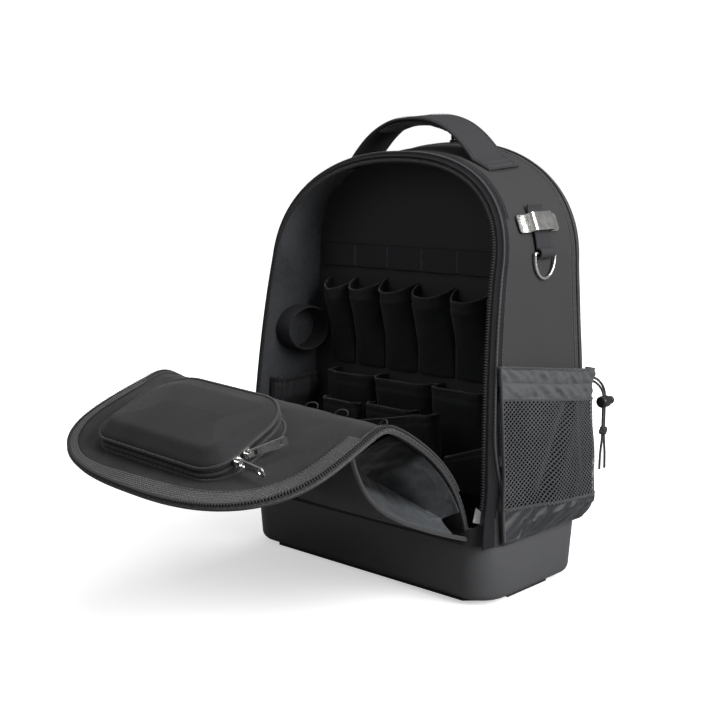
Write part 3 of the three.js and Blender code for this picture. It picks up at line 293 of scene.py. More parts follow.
def tube(
    name: str, path: Sequence[Sequence[float]], radius: float, sides: int = 8, closed: bool = False,
    flat: float = 1.0, ups: Optional[Sequence[Sequence[float]]] = None,
) -> bpy.types.Object:
    """Round or flattened cord along a path in mm.

    Args:
        name: the piece's name.
        path: points that its middle follows.
        radius: half its width.
        sides: faces round it.
        closed: whether it joins itself.
        flat: its height as a share of its width.
        ups: the direction of its height at each point.

    Returns:
        The piece's object.
    """
    points = [Vector(p) for p in path]
    count = len(points)
    rings, side = [], Vector((0, 0, 1))
    for k, point in enumerate(points):
        before = points[(k - 1) % count] if closed else points[max(k - 1, 0)]
        after = points[(k + 1) % count] if closed else points[min(k + 1, count - 1)]
        ahead = (after - before).normalized()
        if ups is not None:
            height = Vector(ups[k])
            height = (height - ahead * height.dot(ahead)).normalized()
        else:
            start = side if k else (Vector((0, 0, 1)) if abs(ahead.z) < 0.9 else Vector((1, 0, 0)))
            height = (start - ahead * start.dot(ahead)).normalized()
            side = height
        wide = ahead.cross(height)
        turn = [2 * math.pi * s / sides for s in range(sides)]
        rings.append(np.array([point + wide * radius * math.cos(a) + height * radius * flat * math.sin(a)
                               for a in turn]))
    return loft(name, rings, closed=closed, sharp=60)


def join_meshes(name: str, parts: Sequence[bpy.types.Object]) -> bpy.types.Object:
    """Puts several plain pieces in one mesh and removes them."""
    whole = bmesh.new()
    for part in parts:
        whole.from_mesh(part.data)
    mesh = bpy.data.meshes.new(name)
    whole.to_mesh(mesh)
    whole.free()
    for part in parts:
        old = part.data
        bpy.data.objects.remove(part)
        bpy.data.meshes.remove(old)
    mesh.set_sharp_from_angle(angle=math.radians(55))
    return new_object(name, mesh)


def rounded_outline(corners: Sequence[tuple[float, float, float, float]],
                    steps: int) -> list[tuple[float, float]]:
    """Outline of rounded corners, each with its centre, radius and starting angle in degrees."""
    outline = []
    for x, y, radius, start in corners:
        for k in range(steps + 1):
            angle = math.radians(start + 90 * k / steps)
            outline.append((x + radius * math.cos(angle), y + radius * math.sin(angle)))
    return outline


def rounded_rectangle(half: float, low: float, high: float, radius: float,
                      steps: int) -> list[tuple[float, float]]:
    """Rounded rectangle from -half to half and from low to high."""
    return rounded_outline(
        [(half - radius, high - radius, radius, 0), (-half + radius, high - radius, radius, 90),
         (-half + radius, low + radius, radius, 180), (half - radius, low + radius, radius, 270)], steps)


# Shader effects that several finishes share


class Nodes:
    """Adds and links the nodes of one tree."""

    def __init__(self, tree: bpy.types.NodeTree) -> None:
        """Keeps the tree."""
        self.tree = tree

    def add(self, kind: str, inputs: Optional[dict] = None, **settings: object) -> bpy.types.Node:
        """Adds a node, sets its properties and links or sets its inputs.

        Args:
            kind: the node's type name.
            inputs: a value or an output socket for each input, by name or number.
            **settings: properties of the node.

        Returns:
            The node.
        """
        node = self.tree.nodes.new(kind)
        for key, value in settings.items():
            setattr(node, key, value)
        for key, value in (inputs or {}).items():
            socket = node.inputs[key]
            if isinstance(value, bpy.types.NodeSocket):
                self.tree.links.new(value, socket)
            else:
                socket.default_value = value
        return node

    def math(self, operation: str, *values: object) -> bpy.types.NodeSocket:
        """Adds a math node and gives its output."""
        node = self.add("ShaderNodeMath", dict(enumerate(values)), operation=operation)
        return node.outputs[0]


_GROUPS: dict[str, bpy.types.NodeTree] = {}


def shader_group(
    name: str, inputs: Sequence[tuple[str, str, object]], outputs: Sequence[tuple[str, str]],
    fill: Callable[[Nodes, bpy.types.Node, bpy.types.Node], None],
) -> bpy.types.NodeTree:
    """Builds a shader node group once.

    Args:
        name: the group's name.
        inputs: name, socket type and starting value of each input.
        outputs: name and socket type of each output.
        fill: adds the nodes between the group's input and output nodes.

    Returns:
        The group.
    """
    if name in _GROUPS:
        return _GROUPS[name]
    tree = bpy.data.node_groups.new(name, "ShaderNodeTree")
    for label, kind, value in inputs:
        socket = tree.interface.new_socket(name=label, in_out="INPUT", socket_type=kind)
        if value is not None:
            socket.default_value = value
    for label, kind in outputs:
        tree.interface.new_socket(name=label, in_out="OUTPUT", socket_type=kind)
    nodes = Nodes(tree)
    fill(nodes, nodes.add("NodeGroupInput"), nodes.add("NodeGroupOutput"))
    _GROUPS[name] = tree
    return tree


def weave_group() -> bpy.types.NodeTree:
    """Plain weave: threads over and under each other, with uneven yarn."""

    def fill(nodes: Nodes, into: bpy.types.Node, out: bpy.types.Node) -> None:
        split = nodes.add("ShaderNodeSeparateXYZ", {0: into.outputs["Place"]})
        rate = nodes.math("DIVIDE", math.pi, into.outputs["Thread"])
        warp = nodes.math("SINE", nodes.math("MULTIPLY", split.outputs[0], rate))
        weft = nodes.math("SINE", nodes.math("MULTIPLY", split.outputs[1], rate))
        cross = nodes.math("MULTIPLY", warp, weft)
        over = nodes.math("MULTIPLY_ADD", cross, 0.5, 0.5)
        crown = nodes.math("MULTIPLY", nodes.math("ABSOLUTE", warp), nodes.math("ABSOLUTE", weft))
        speck = nodes.add("ShaderNodeTexNoise",
                          {"Vector": into.outputs["Place"], "Scale": 900.0, "Detail": 2.0})
        yarn = nodes.math("MULTIPLY_ADD", speck.outputs[0], 0.5, crown)
        height = nodes.math("MULTIPLY_ADD", over, 0.35, yarn)
        nodes.tree.links.new(height, out.inputs["Height"])
        nodes.tree.links.new(nodes.math("MULTIPLY_ADD", crown, 0.6, over), out.inputs["Thread Mask"])

    return shader_group(
        "woven_threads", [("Place", "NodeSocketVector", None), ("Thread", "NodeSocketFloat", 0.0008)],
        [("Height", "NodeSocketFloat"), ("Thread Mask", "NodeSocketFloat")], fill)


def rib_group() -> bpy.types.NodeTree:
    """Ribs of tape or webbing along one direction of the cloth, with finer picks across them."""

    def fill(nodes: Nodes, into: bpy.types.Node, out: bpy.types.Node) -> None:
        split = nodes.add("ShaderNodeSeparateXYZ", {0: into.outputs["Place"]})
        rate = nodes.math("DIVIDE", 2 * math.pi, into.outputs["Pitch"])
        slant = nodes.math("MULTIPLY_ADD", split.outputs[0], into.outputs["Slant"], split.outputs[1])
        rib = nodes.math("MULTIPLY_ADD", nodes.math("SINE", nodes.math("MULTIPLY", slant, rate)), 0.5, 0.5)
        pick = nodes.math("SINE", nodes.math("MULTIPLY", split.outputs[0], nodes.math("MULTIPLY", rate, 1.7)))
        height = nodes.math("MULTIPLY_ADD", pick, 0.16, rib)
        nodes.tree.links.new(height, out.inputs["Height"])
        nodes.tree.links.new(rib, out.inputs["Rib Mask"])

    return shader_group(
        "woven_ribs", [("Place", "NodeSocketVector", None), ("Pitch", "NodeSocketFloat", 0.002),
                       ("Slant", "NodeSocketFloat", 0.0)],
        [("Height", "NodeSocketFloat"), ("Rib Mask", "NodeSocketFloat")], fill)


def shade_group() -> bpy.types.NodeTree:
    """Uneven dye, dust and rubbing: a colour that drifts between two tones over the surface."""

    def fill(nodes: Nodes, into: bpy.types.Node, out: bpy.types.Node) -> None:
        place = nodes.add("ShaderNodeTexCoord").outputs["Object"]
        wide = nodes.add("ShaderNodeTexNoise",
                         {"Vector": place, "Scale": into.outputs["Scale"], "Detail": 4.0,
                                                "Roughness": 0.6})
        fine = nodes.add("ShaderNodeTexNoise", {"Vector": place, "Scale": 260.0, "Detail": 3.0})
        drift = nodes.math("MULTIPLY_ADD", fine.outputs[0], 0.35,
                           nodes.math("MULTIPLY", wide.outputs[0], 0.65))
        share = nodes.add("ShaderNodeMapRange", {0: drift, 1: 0.36, 2: 0.64, 3: 0.0, 4: 1.0})
        mix = nodes.add("ShaderNodeMix",
                        {0: share.outputs[0], 6: into.outputs["Dark"], 7: into.outputs["Light"]},
                        data_type="RGBA")
        nodes.tree.links.new(mix.outputs[2], out.inputs["Colour"])
        nodes.tree.links.new(share.outputs[0], out.inputs["Mask"])

    return shader_group(
        "uneven_tone", [("Dark", "NodeSocketColor", (0.02, 0.02, 0.02, 1)), ("Light", "NodeSocketColor",
                        (0.03, 0.03, 0.03, 1)), ("Scale", "NodeSocketFloat", 14.0)],
        [("Colour", "NodeSocketColor"), ("Mask", "NodeSocketFloat")], fill)


def crease_group() -> bpy.types.NodeTree:
    """Soft creases and puckers of cloth, in the object's own space."""

    def fill(nodes: Nodes, into: bpy.types.Node, out: bpy.types.Node) -> None:
        place = nodes.add("ShaderNodeTexCoord").outputs["Object"]
        soft = nodes.add("ShaderNodeTexNoise",
                         {"Vector": place, "Scale": into.outputs["Scale"], "Detail": 3.0,
                                                "Roughness": 0.45, "Distortion": 0.6})
        fold = nodes.math("ABSOLUTE", nodes.math("MULTIPLY_ADD", soft.outputs[0], 2.0, -1.0))
        ridge = nodes.math("POWER", nodes.math("SUBTRACT", 1.0, fold), 5.0)
        height = nodes.math("MULTIPLY_ADD", ridge, into.outputs["Sharp"], soft.outputs[0])
        nodes.tree.links.new(height, out.inputs["Height"])

    return shader_group(
        "soft_creases", [("Scale", "NodeSocketFloat", 18.0), ("Sharp", "NodeSocketFloat", 0.2)],
        [("Height", "NodeSocketFloat")], fill)


def grain_group() -> bpy.types.NodeTree:
    """Fine pebbled grain of a moulded or coated surface."""

    def fill(nodes: Nodes, into: bpy.types.Node, out: bpy.types.Node) -> None:
        place = nodes.add("ShaderNodeTexCoord").outputs["Object"]
        cells = nodes.add("ShaderNodeTexVoronoi", {"Vector": place, "Scale": into.outputs["Scale"]})
        speck = nodes.add("ShaderNodeTexNoise", {"Vector": place, "Scale": 1400.0, "Detail": 2.0})
        height = nodes.math("MULTIPLY_ADD", speck.outputs[0], 0.6, cells.outputs[0])
        nodes.tree.links.new(height, out.inputs["Height"])

    return shader_group(
        "moulded_grain", [("Scale", "NodeSocketFloat", 900.0)], [("Height", "NodeSocketFloat")], fill)


# Finishes

Colour = tuple[float, float, float]


class Pattern(Enum):
    """How a cloth is woven."""

    WEAVE = "weave"
    RIB = "rib"
    PLAIN = "plain"


class Finish:
    """A named material that is built once."""

    name: str

    def material(self) -> bpy.types.Material:
        """Gives the material, and builds it at its first use."""
        known = bpy.data.materials.get(self.name)
        if known is not None:
            return known
        made = bpy.data.materials.new(self.name)
        made.use_nodes = True
        made.node_tree.nodes.clear()
        nodes = Nodes(made.node_tree)
        output = nodes.add("ShaderNodeOutputMaterial")
        shader = nodes.add("ShaderNodeBsdfPrincipled")
        made.node_tree.links.new(shader.outputs[0], output.inputs["Surface"])
        self.fill(nodes, shader)
        return made

    def fill(self, nodes: Nodes, shader: bpy.types.Node) -> None:
        """Adds the nodes that feed the shader."""
        raise NotImplementedError

    def dress(self, *pieces: bpy.types.Object) -> None:
        """Puts the material on pieces in place of what they have."""
        for piece in pieces:
            piece.data.materials.clear()
            piece.data.materials.append(self.material())


@dataclass(frozen=True)
class Cloth(Finish):
    """Woven, ribbed or plain cloth."""

    name: str
    colour: Colour
    roughness: float = 0.75
    sheen: float = 0.25
    pattern: Pattern = Pattern.WEAVE
    pitch: float = 0.0011
    slant: float = 0.0
    depth: float = 0.5
    relief: float = 0.0003
    drift: float = 0.35
    crease: float = 0.0
    crease_scale: float = 16.0
    crease_height: float = 0.003
    crease_sharp: float = 0.2
    coat: float = 0.0
    specular: float = 0.5
    # Shaded cloth takes painted shade: its colour and specular level are multiplied by the shade attribute.
    shaded: bool = False

    def fill(self, nodes: Nodes, shader: bpy.types.Node) -> None:
        """Adds tone, weave with painted shade between threads, creases and, for shaded cloth, painted shade
        from the shade attribute.
        """
        link = nodes.tree.links.new
        dark = tuple(c * (1 - self.drift) for c in self.colour) + (1.0,)
        light = tuple(c * (1 + self.drift) for c in self.colour) + (1.0,)
        tone = nodes.add("ShaderNodeGroup", node_tree=shade_group())
        tone.inputs["Dark"].default_value = dark
        tone.inputs["Light"].default_value = light
        shader.inputs["Roughness"].default_value = self.roughness
        shader.inputs["Sheen Weight"].default_value = self.sheen
        shader.inputs["Sheen Roughness"].default_value = 0.45
        shader.inputs["Specular IOR Level"].default_value = self.specular
        shader.inputs["Coat Weight"].default_value = self.coat
        colour = tone.outputs["Colour"]
        normal = None
        if self.crease > 0:
            folds = nodes.add("ShaderNodeGroup", node_tree=crease_group())
            folds.inputs["Scale"].default_value = self.crease_scale
            folds.inputs["Sharp"].default_value = self.crease_sharp
            rise = nodes.add("ShaderNodeBump", {"Strength": self.crease, "Distance": self.crease_height,
                                                "Height": folds.outputs[0]})
            normal = rise.outputs[0]
        if self.pattern is not Pattern.PLAIN:
            place = nodes.add("ShaderNodeUVMap", uv_map="cloth").outputs[0]
            if self.pattern is Pattern.WEAVE:
                woven = nodes.add("ShaderNodeGroup", {}, node_tree=weave_group())
                woven.inputs["Thread"].default_value = self.pitch
            else:
                woven = nodes.add("ShaderNodeGroup", {}, node_tree=rib_group())
                woven.inputs["Pitch"].default_value = self.pitch
                woven.inputs["Slant"].default_value = self.slant
            link(place, woven.inputs["Place"])
            fine = nodes.add("ShaderNodeBump", {"Strength": self.depth, "Distance": self.relief,
                                                "Height": woven.outputs[0]})
            if normal is not None:
                link(normal, fine.inputs["Normal"])
            normal = fine.outputs[0]
            # Painted shade in the valleys between threads or ribs and painted highlight on their crowns: the
            # mask scales the colour from 0.72 to 1.15.
            shade = nodes.add("ShaderNodeMapRange", {0: woven.outputs[1], 1: 0.0, 2: 1.2, 3: 0.72, 4: 1.15})
            tint = nodes.add("ShaderNodeMix", {0: 1.0, 6: colour, 7: shade.outputs[0]}, data_type="RGBA",
                             blend_type="MULTIPLY")
            colour = tint.outputs[2]
        # Painted shade: the shade attribute darkens the colour and the specular level.
        if self.shaded:
            painted_shade_fac = nodes.add("ShaderNodeAttribute", attribute_name="shade").outputs["Fac"]
            tint = nodes.add("ShaderNodeMix", {0: 1.0, 6: colour, 7: painted_shade_fac}, data_type="RGBA",
                             blend_type="MULTIPLY")
            colour = tint.outputs[2]
            link(nodes.math("MULTIPLY", painted_shade_fac, self.specular), shader.inputs["Specular IOR Level"])
        link(colour, shader.inputs["Base Color"])
        if normal is not None:
            link(normal, shader.inputs["Normal"])


@dataclass(frozen=True)
class Moulded(Finish):
    """Moulded plastic or rubber with a fine grain."""

    name: str
    colour: Colour
    roughness: float = 0.42
    grain: float = 0.25
    grain_scale: float = 900.0
    drift: float = 0.2
    specular: float = 0.5
    coat: float = 0.0

    def fill(self, nodes: Nodes, shader: bpy.types.Node) -> None:
        """Adds tone, grain and uneven gloss."""
        link = nodes.tree.links.new
        tone = nodes.add("ShaderNodeGroup", node_tree=shade_group())
        tone.inputs["Dark"].default_value = tuple(c * (1 - self.drift) for c in self.colour) + (1.0,)
        tone.inputs["Light"].default_value = tuple(c * (1 + self.drift) for c in self.colour) + (1.0,)
        tone.inputs["Scale"].default_value = 9.0
        link(tone.outputs["Colour"], shader.inputs["Base Color"])
        gloss = nodes.add("ShaderNodeMapRange", {0: tone.outputs["Mask"], 1: 0.0, 2: 1.0,
                                                 3: self.roughness - 0.05, 4: self.roughness + 0.06})
        link(gloss.outputs[0], shader.inputs["Roughness"])
        shader.inputs["Specular IOR Level"].default_value = self.specular
        shader.inputs["Coat Weight"].default_value = self.coat
        grain = nodes.add("ShaderNodeGroup", node_tree=grain_group())
        grain.inputs["Scale"].default_value = self.grain_scale
        rise = nodes.add("ShaderNodeBump",
                         {"Strength": self.grain, "Distance": 0.0002, "Height": grain.outputs[0]})
        link(rise.outputs[0], shader.inputs["Normal"])


@dataclass(frozen=True)
class Plated(Finish):
    """Plated metal with faint polishing lines and dull spots."""

    name: str
    colour: Colour
    roughness: float = 0.22

    def fill(self, nodes: Nodes, shader: bpy.types.Node) -> None:
        """Adds dull spots and fine scratches."""
        link = nodes.tree.links.new
        place = nodes.add("ShaderNodeTexCoord").outputs["Object"]
        spots = nodes.add("ShaderNodeTexNoise", {"Vector": place, "Scale": 120.0, "Detail": 4.0})
        gloss = nodes.add("ShaderNodeMapRange",
                          {0: spots.outputs[0], 1: 0.3, 2: 0.7, 3: self.roughness - 0.03,
                                                 4: self.roughness + 0.04})
        stretch = nodes.add("ShaderNodeMapping", {"Vector": place, "Scale": (3000.0, 220.0, 220.0)})
        lines = nodes.add("ShaderNodeTexNoise", {"Vector": stretch.outputs[0], "Scale": 1.0, "Detail": 2.0})
        rise = nodes.add("ShaderNodeBump",
                         {"Strength": 0.03, "Distance": 0.00003, "Height": lines.outputs[0]})
        tone = nodes.add("ShaderNodeMix",
                         {0: spots.outputs[0], 6: tuple(c * 0.82 for c in self.colour) + (1.0,),
                                           7: self.colour + (1.0,)}, data_type="RGBA")
        shader.inputs["Metallic"].default_value = 1.0
        link(tone.outputs[2], shader.inputs["Base Color"])
        link(gloss.outputs[0], shader.inputs["Roughness"])
        link(rise.outputs[0], shader.inputs["Normal"])


CANVAS = Cloth("canvas", (0.030, 0.031, 0.034), roughness=0.62, sheen=0.18, pitch=0.0010, depth=0.45,
               crease=0.25, crease_scale=11.0, crease_height=0.004)
COVER_CLOTH = Cloth("cover_canvas", (0.023, 0.023, 0.025), roughness=0.78, sheen=0.1, pitch=0.0012, depth=0.6,
                    crease=0.2, crease_scale=9.0, specular=0.3)
LINING = Cloth("lining", (0.034, 0.037, 0.040), roughness=0.7, sheen=0.2, pitch=0.0008, depth=0.35,
               crease=0.35, crease_scale=20.0, crease_height=0.004)
POCKET_CLOTH = Cloth("pocket_cloth", (0.011, 0.012, 0.013), roughness=0.72, sheen=0.12, pitch=0.0008,
                     depth=0.35, crease=0.35, crease_scale=20.0, crease_height=0.004, specular=0.35)
NYLON = Cloth("nylon", (0.056, 0.062, 0.070), roughness=0.32, sheen=0.15, pitch=0.0006, depth=0.2,
              crease=0.7, crease_scale=30.0, crease_height=0.006, crease_sharp=0.6, specular=0.7)
HEM_NYLON = Cloth("hem_nylon", (0.015, 0.017, 0.020), roughness=0.5, sheen=0.08, pitch=0.0006, depth=0.25,
                  crease=0.6, crease_scale=22.0, crease_height=0.006, crease_sharp=0.5)
# Painted shade: a darker copy of the canvas for the lip.
LIP_SHADE_CANVAS = Cloth("lip_painted_shade", (0.010, 0.010, 0.012), roughness=0.85, sheen=0.05, pitch=0.0010, depth=0.45,
                   specular=0.25)
# Painted light: a lighter copy of the canvas for the left inner face.
INNER_LIT_CANVAS = Cloth("inner_painted_light", (0.060, 0.063, 0.070), roughness=0.7, sheen=0.2, pitch=0.0009,
                     depth=0.35, crease=0.4, crease_scale=9.0, crease_height=0.006)
# Painted shade: near-black canvas for the wall behind the net and the sheet where the net turns in.
NET_SHADE_CANVAS = Cloth("net_painted_shade", (0.004, 0.004, 0.005), roughness=0.9, sheen=0.0, pitch=0.0010,
                      depth=0.3, specular=0.1)
# Gusset nylon takes painted shade from the shade attribute.
GUSSET_NYLON = Cloth("gusset_nylon", (0.062, 0.068, 0.074), roughness=0.5, sheen=0.1, pitch=0.0007,
                     depth=0.25,
                     crease=0.6, crease_scale=15.0, crease_height=0.006, crease_sharp=0.35, shaded=True)
TAPE = Cloth("zip_tape", (0.026, 0.026, 0.028), roughness=0.7, sheen=0.3, pattern=Pattern.RIB, pitch=0.0016,
             slant=0.25, depth=0.8, relief=0.0004)
RIBBED_TAPE = Cloth("ribbed_tape", (0.038, 0.038, 0.041), roughness=0.65, sheen=0.25, pitch=0.0024, depth=1.0,
                    relief=0.0006, drift=0.5)
WEBBING = Cloth("webbing", (0.026, 0.026, 0.028), roughness=0.66, sheen=0.25, pattern=Pattern.RIB,
                pitch=0.0024, depth=0.8, relief=0.0005)
BINDING = Cloth("binding", (0.024, 0.024, 0.027), roughness=0.6, sheen=0.3, pattern=Pattern.RIB, pitch=0.0018,
                depth=0.6, relief=0.0003)
FOAM_CLOTH = Cloth("moulded_cloth", (0.017, 0.017, 0.019), roughness=0.66, sheen=0.12, pitch=0.0008,
                   depth=0.35, crease=0.12, crease_scale=12.0, specular=0.35)
PAD_CLOTH = Cloth("pad_cloth", (0.028, 0.029, 0.031), roughness=0.78, sheen=0.3, pitch=0.0016, depth=0.8,
                  relief=0.0005, crease=0.2)
NET_YARN = Cloth("net_yarn", (0.062, 0.067, 0.074), roughness=0.5, sheen=0.35, pattern=Pattern.PLAIN)
THREAD = Cloth("thread", (0.045, 0.045, 0.048), roughness=0.55, sheen=0.3, pattern=Pattern.PLAIN)
CORD_CLOTH = Cloth("cord_cloth", (0.020, 0.020, 0.021), roughness=0.7, sheen=0.3, pattern=Pattern.RIB,
                   pitch=0.0014, slant=1.0, depth=0.8, relief=0.0003)
LABEL_CLOTH = Cloth("label_cloth", (0.90, 0.90, 0.88), roughness=0.8, sheen=0.2, pitch=0.0006, depth=0.3,
                    drift=0.03)
TUB_PLASTIC = Moulded("tub_plastic", (0.058, 0.059, 0.062), roughness=0.37, grain=0.2, drift=0.12,
                      specular=0.6)
FOOT_RUBBER = Moulded("foot_rubber", (0.016, 0.016, 0.017), roughness=0.62, grain=0.4, grain_scale=700.0)
TEETH_PLASTIC = Moulded("zip_teeth", (0.36, 0.362, 0.37), roughness=0.28, grain=0.05, drift=0.15)
LOCK_PLASTIC = Moulded("lock_plastic", (0.014, 0.014, 0.015), roughness=0.32, grain=0.12)
STEEL = Plated("bright_steel", (0.90, 0.89, 0.87), roughness=0.27)


# Small parts repeated along paths


@dataclass
class SmallPart:
    """A rounded block that repeats along a path: a stitch, a zip tooth or a rib. Sizes in mm."""

    name: str
    length: float
    width: float
    height: float

    def build(self) -> bpy.types.Object:
        """Makes the block with bevelled edges."""
        mesh = bpy.data.meshes.new(self.name)
        form = bmesh.new()
        bmesh.ops.create_cube(form, size=1.0)
        for vert in form.verts:
            vert.co.x *= self.length * MM
            vert.co.y *= self.width * MM
            vert.co.z *= self.height * MM
        edge = min(self.length, self.width, self.height) * 0.28 * MM
        bmesh.ops.bevel(form, geom=form.edges[:], offset=edge, segments=1, affect="EDGES")
        form.to_mesh(mesh)
        form.free()
        mesh.shade_smooth()
        return new_object(self.name, mesh)


class PartRow:
    """Geometry Nodes tree that sets small parts along paths and makes them one mesh."""

    _tree: Optional[bpy.types.NodeTree] = None

    @classmethod
    def tree(cls) -> bpy.types.NodeTree:
        """Builds the tree once: paths in, parts at an even spacing out."""
        if cls._tree is not None:
            return cls._tree
        tree = bpy.data.node_groups.new("parts_along_paths", "GeometryNodeTree")
        for label, kind in (("Geometry", "NodeSocketGeometry"), ("Part", "NodeSocketObject"),
                            ("Spacing", "NodeSocketFloat"), ("Sink", "NodeSocketFloat"),
                            ("Material", "NodeSocketMaterial")):
            tree.interface.new_socket(name=label, in_out="INPUT", socket_type=kind)
        tree.interface.new_socket(name="Geometry", in_out="OUTPUT", socket_type="NodeSocketGeometry")
        nodes = Nodes(tree)
        into, out = nodes.add("NodeGroupInput"), nodes.add("NodeGroupOutput")
        curve = nodes.add("GeometryNodeMeshToCurve", {0: into.outputs["Geometry"]})
        even = nodes.add("GeometryNodeResampleCurve", mode="LENGTH")
        tree.links.new(curve.outputs[0], even.inputs["Curve"])
        tree.links.new(into.outputs["Spacing"], even.inputs["Length"])
        up = nodes.add("GeometryNodeInputNamedAttribute", data_type="FLOAT_VECTOR")
        up.inputs["Name"].default_value = "up"
        tangent = nodes.add("GeometryNodeInputTangent")
        turn = nodes.add("FunctionNodeAxesToRotation", primary_axis="X", secondary_axis="Z")
        tree.links.new(tangent.outputs[0], turn.inputs[0])
        tree.links.new(up.outputs[0], turn.inputs[1])
        part = nodes.add("GeometryNodeObjectInfo", transform_space="ORIGINAL")
        tree.links.new(into.outputs["Part"], part.inputs[0])
        sink = nodes.add("ShaderNodeVectorMath", operation="SCALE")
        tree.links.new(up.outputs[0], sink.inputs[0])
        tree.links.new(into.outputs["Sink"], sink.inputs["Scale"])
        moved = nodes.add("GeometryNodeSetPosition")
        tree.links.new(even.outputs[0], moved.inputs["Geometry"])
        tree.links.new(sink.outputs[0], moved.inputs["Offset"])
        placed = nodes.add("GeometryNodeInstanceOnPoints")
        tree.links.new(moved.outputs[0], placed.inputs["Points"])
        tree.links.new(part.outputs["Geometry"], placed.inputs["Instance"])
        tree.links.new(turn.outputs[0], placed.inputs["Rotation"])
        real = nodes.add("GeometryNodeRealizeInstances")
        tree.links.new(placed.outputs[0], real.inputs[0])
        coat = nodes.add("GeometryNodeSetMaterial")
        tree.links.new(real.outputs[0], coat.inputs["Geometry"])
        tree.links.new(into.outputs["Material"], coat.inputs["Material"])
        tree.links.new(coat.outputs[0], out.inputs[0])
        cls._tree = tree
        return tree

    @classmethod
    def lay(
        cls, name: str, paths: Sequence[tuple[Sequence[Sequence[float]], Sequence[Sequence[float]]]],
        part: SmallPart, spacing: float, finish: Finish, sink: float = 0.0,
    ) -> bpy.types.Object:
        """Lays parts along paths and gives one plain mesh.

        Args:
            name: the piece's name.
            paths: points in mm and the direction of each part's height for each path.
            part: what repeats.
            spacing: distance between parts in mm.
            finish: the parts' material.
            sink: how far the parts are moved along their height, in mm.

        Returns:
            The piece's object.
        """
        points, ups, edges = [], [], []
        for path, heights in paths:
            start = len(points)
            points.extend([[c * MM for c in p] for p in path])
            ups.extend(heights)
            edges.extend([(start + k, start + k + 1) for k in range(len(path) - 1)])
        mesh = bpy.data.meshes.new(name)
        mesh.from_pydata(points, edges, [])
        layer = mesh.attributes.new("up", "FLOAT_VECTOR", "POINT")
        layer.data.foreach_set("vector", np.array(ups, dtype=np.float32).ravel())
        rail = new_object(name + "_rail", mesh)
        block = part.build()
        modifier = rail.modifiers.new("parts", "NODES")
        tree = cls.tree()
        modifier.node_group = tree
        values = {"Part": block, "Spacing": spacing * MM, "Sink": sink * MM, "Material": finish.material()}
        for item in tree.interface.items_tree:
            if item.in_out == "INPUT" and item.name in values:
                modifier[item.identifier] = values[item.name]
        rail.update_tag()
        bpy.context.view_layer.update()
        graph = bpy.context.evaluated_depsgraph_get()
        made = bpy.data.meshes.new_from_object(rail.evaluated_get(graph))
        made.name = name
        rail.modifiers.clear()
        bpy.data.objects.remove(rail)
        bpy.data.objects.remove(block)
        made.shade_smooth()
        piece = new_object(name, made)
        finish.dress(piece)
        return piece


# Forms that several sub-assemblies follow


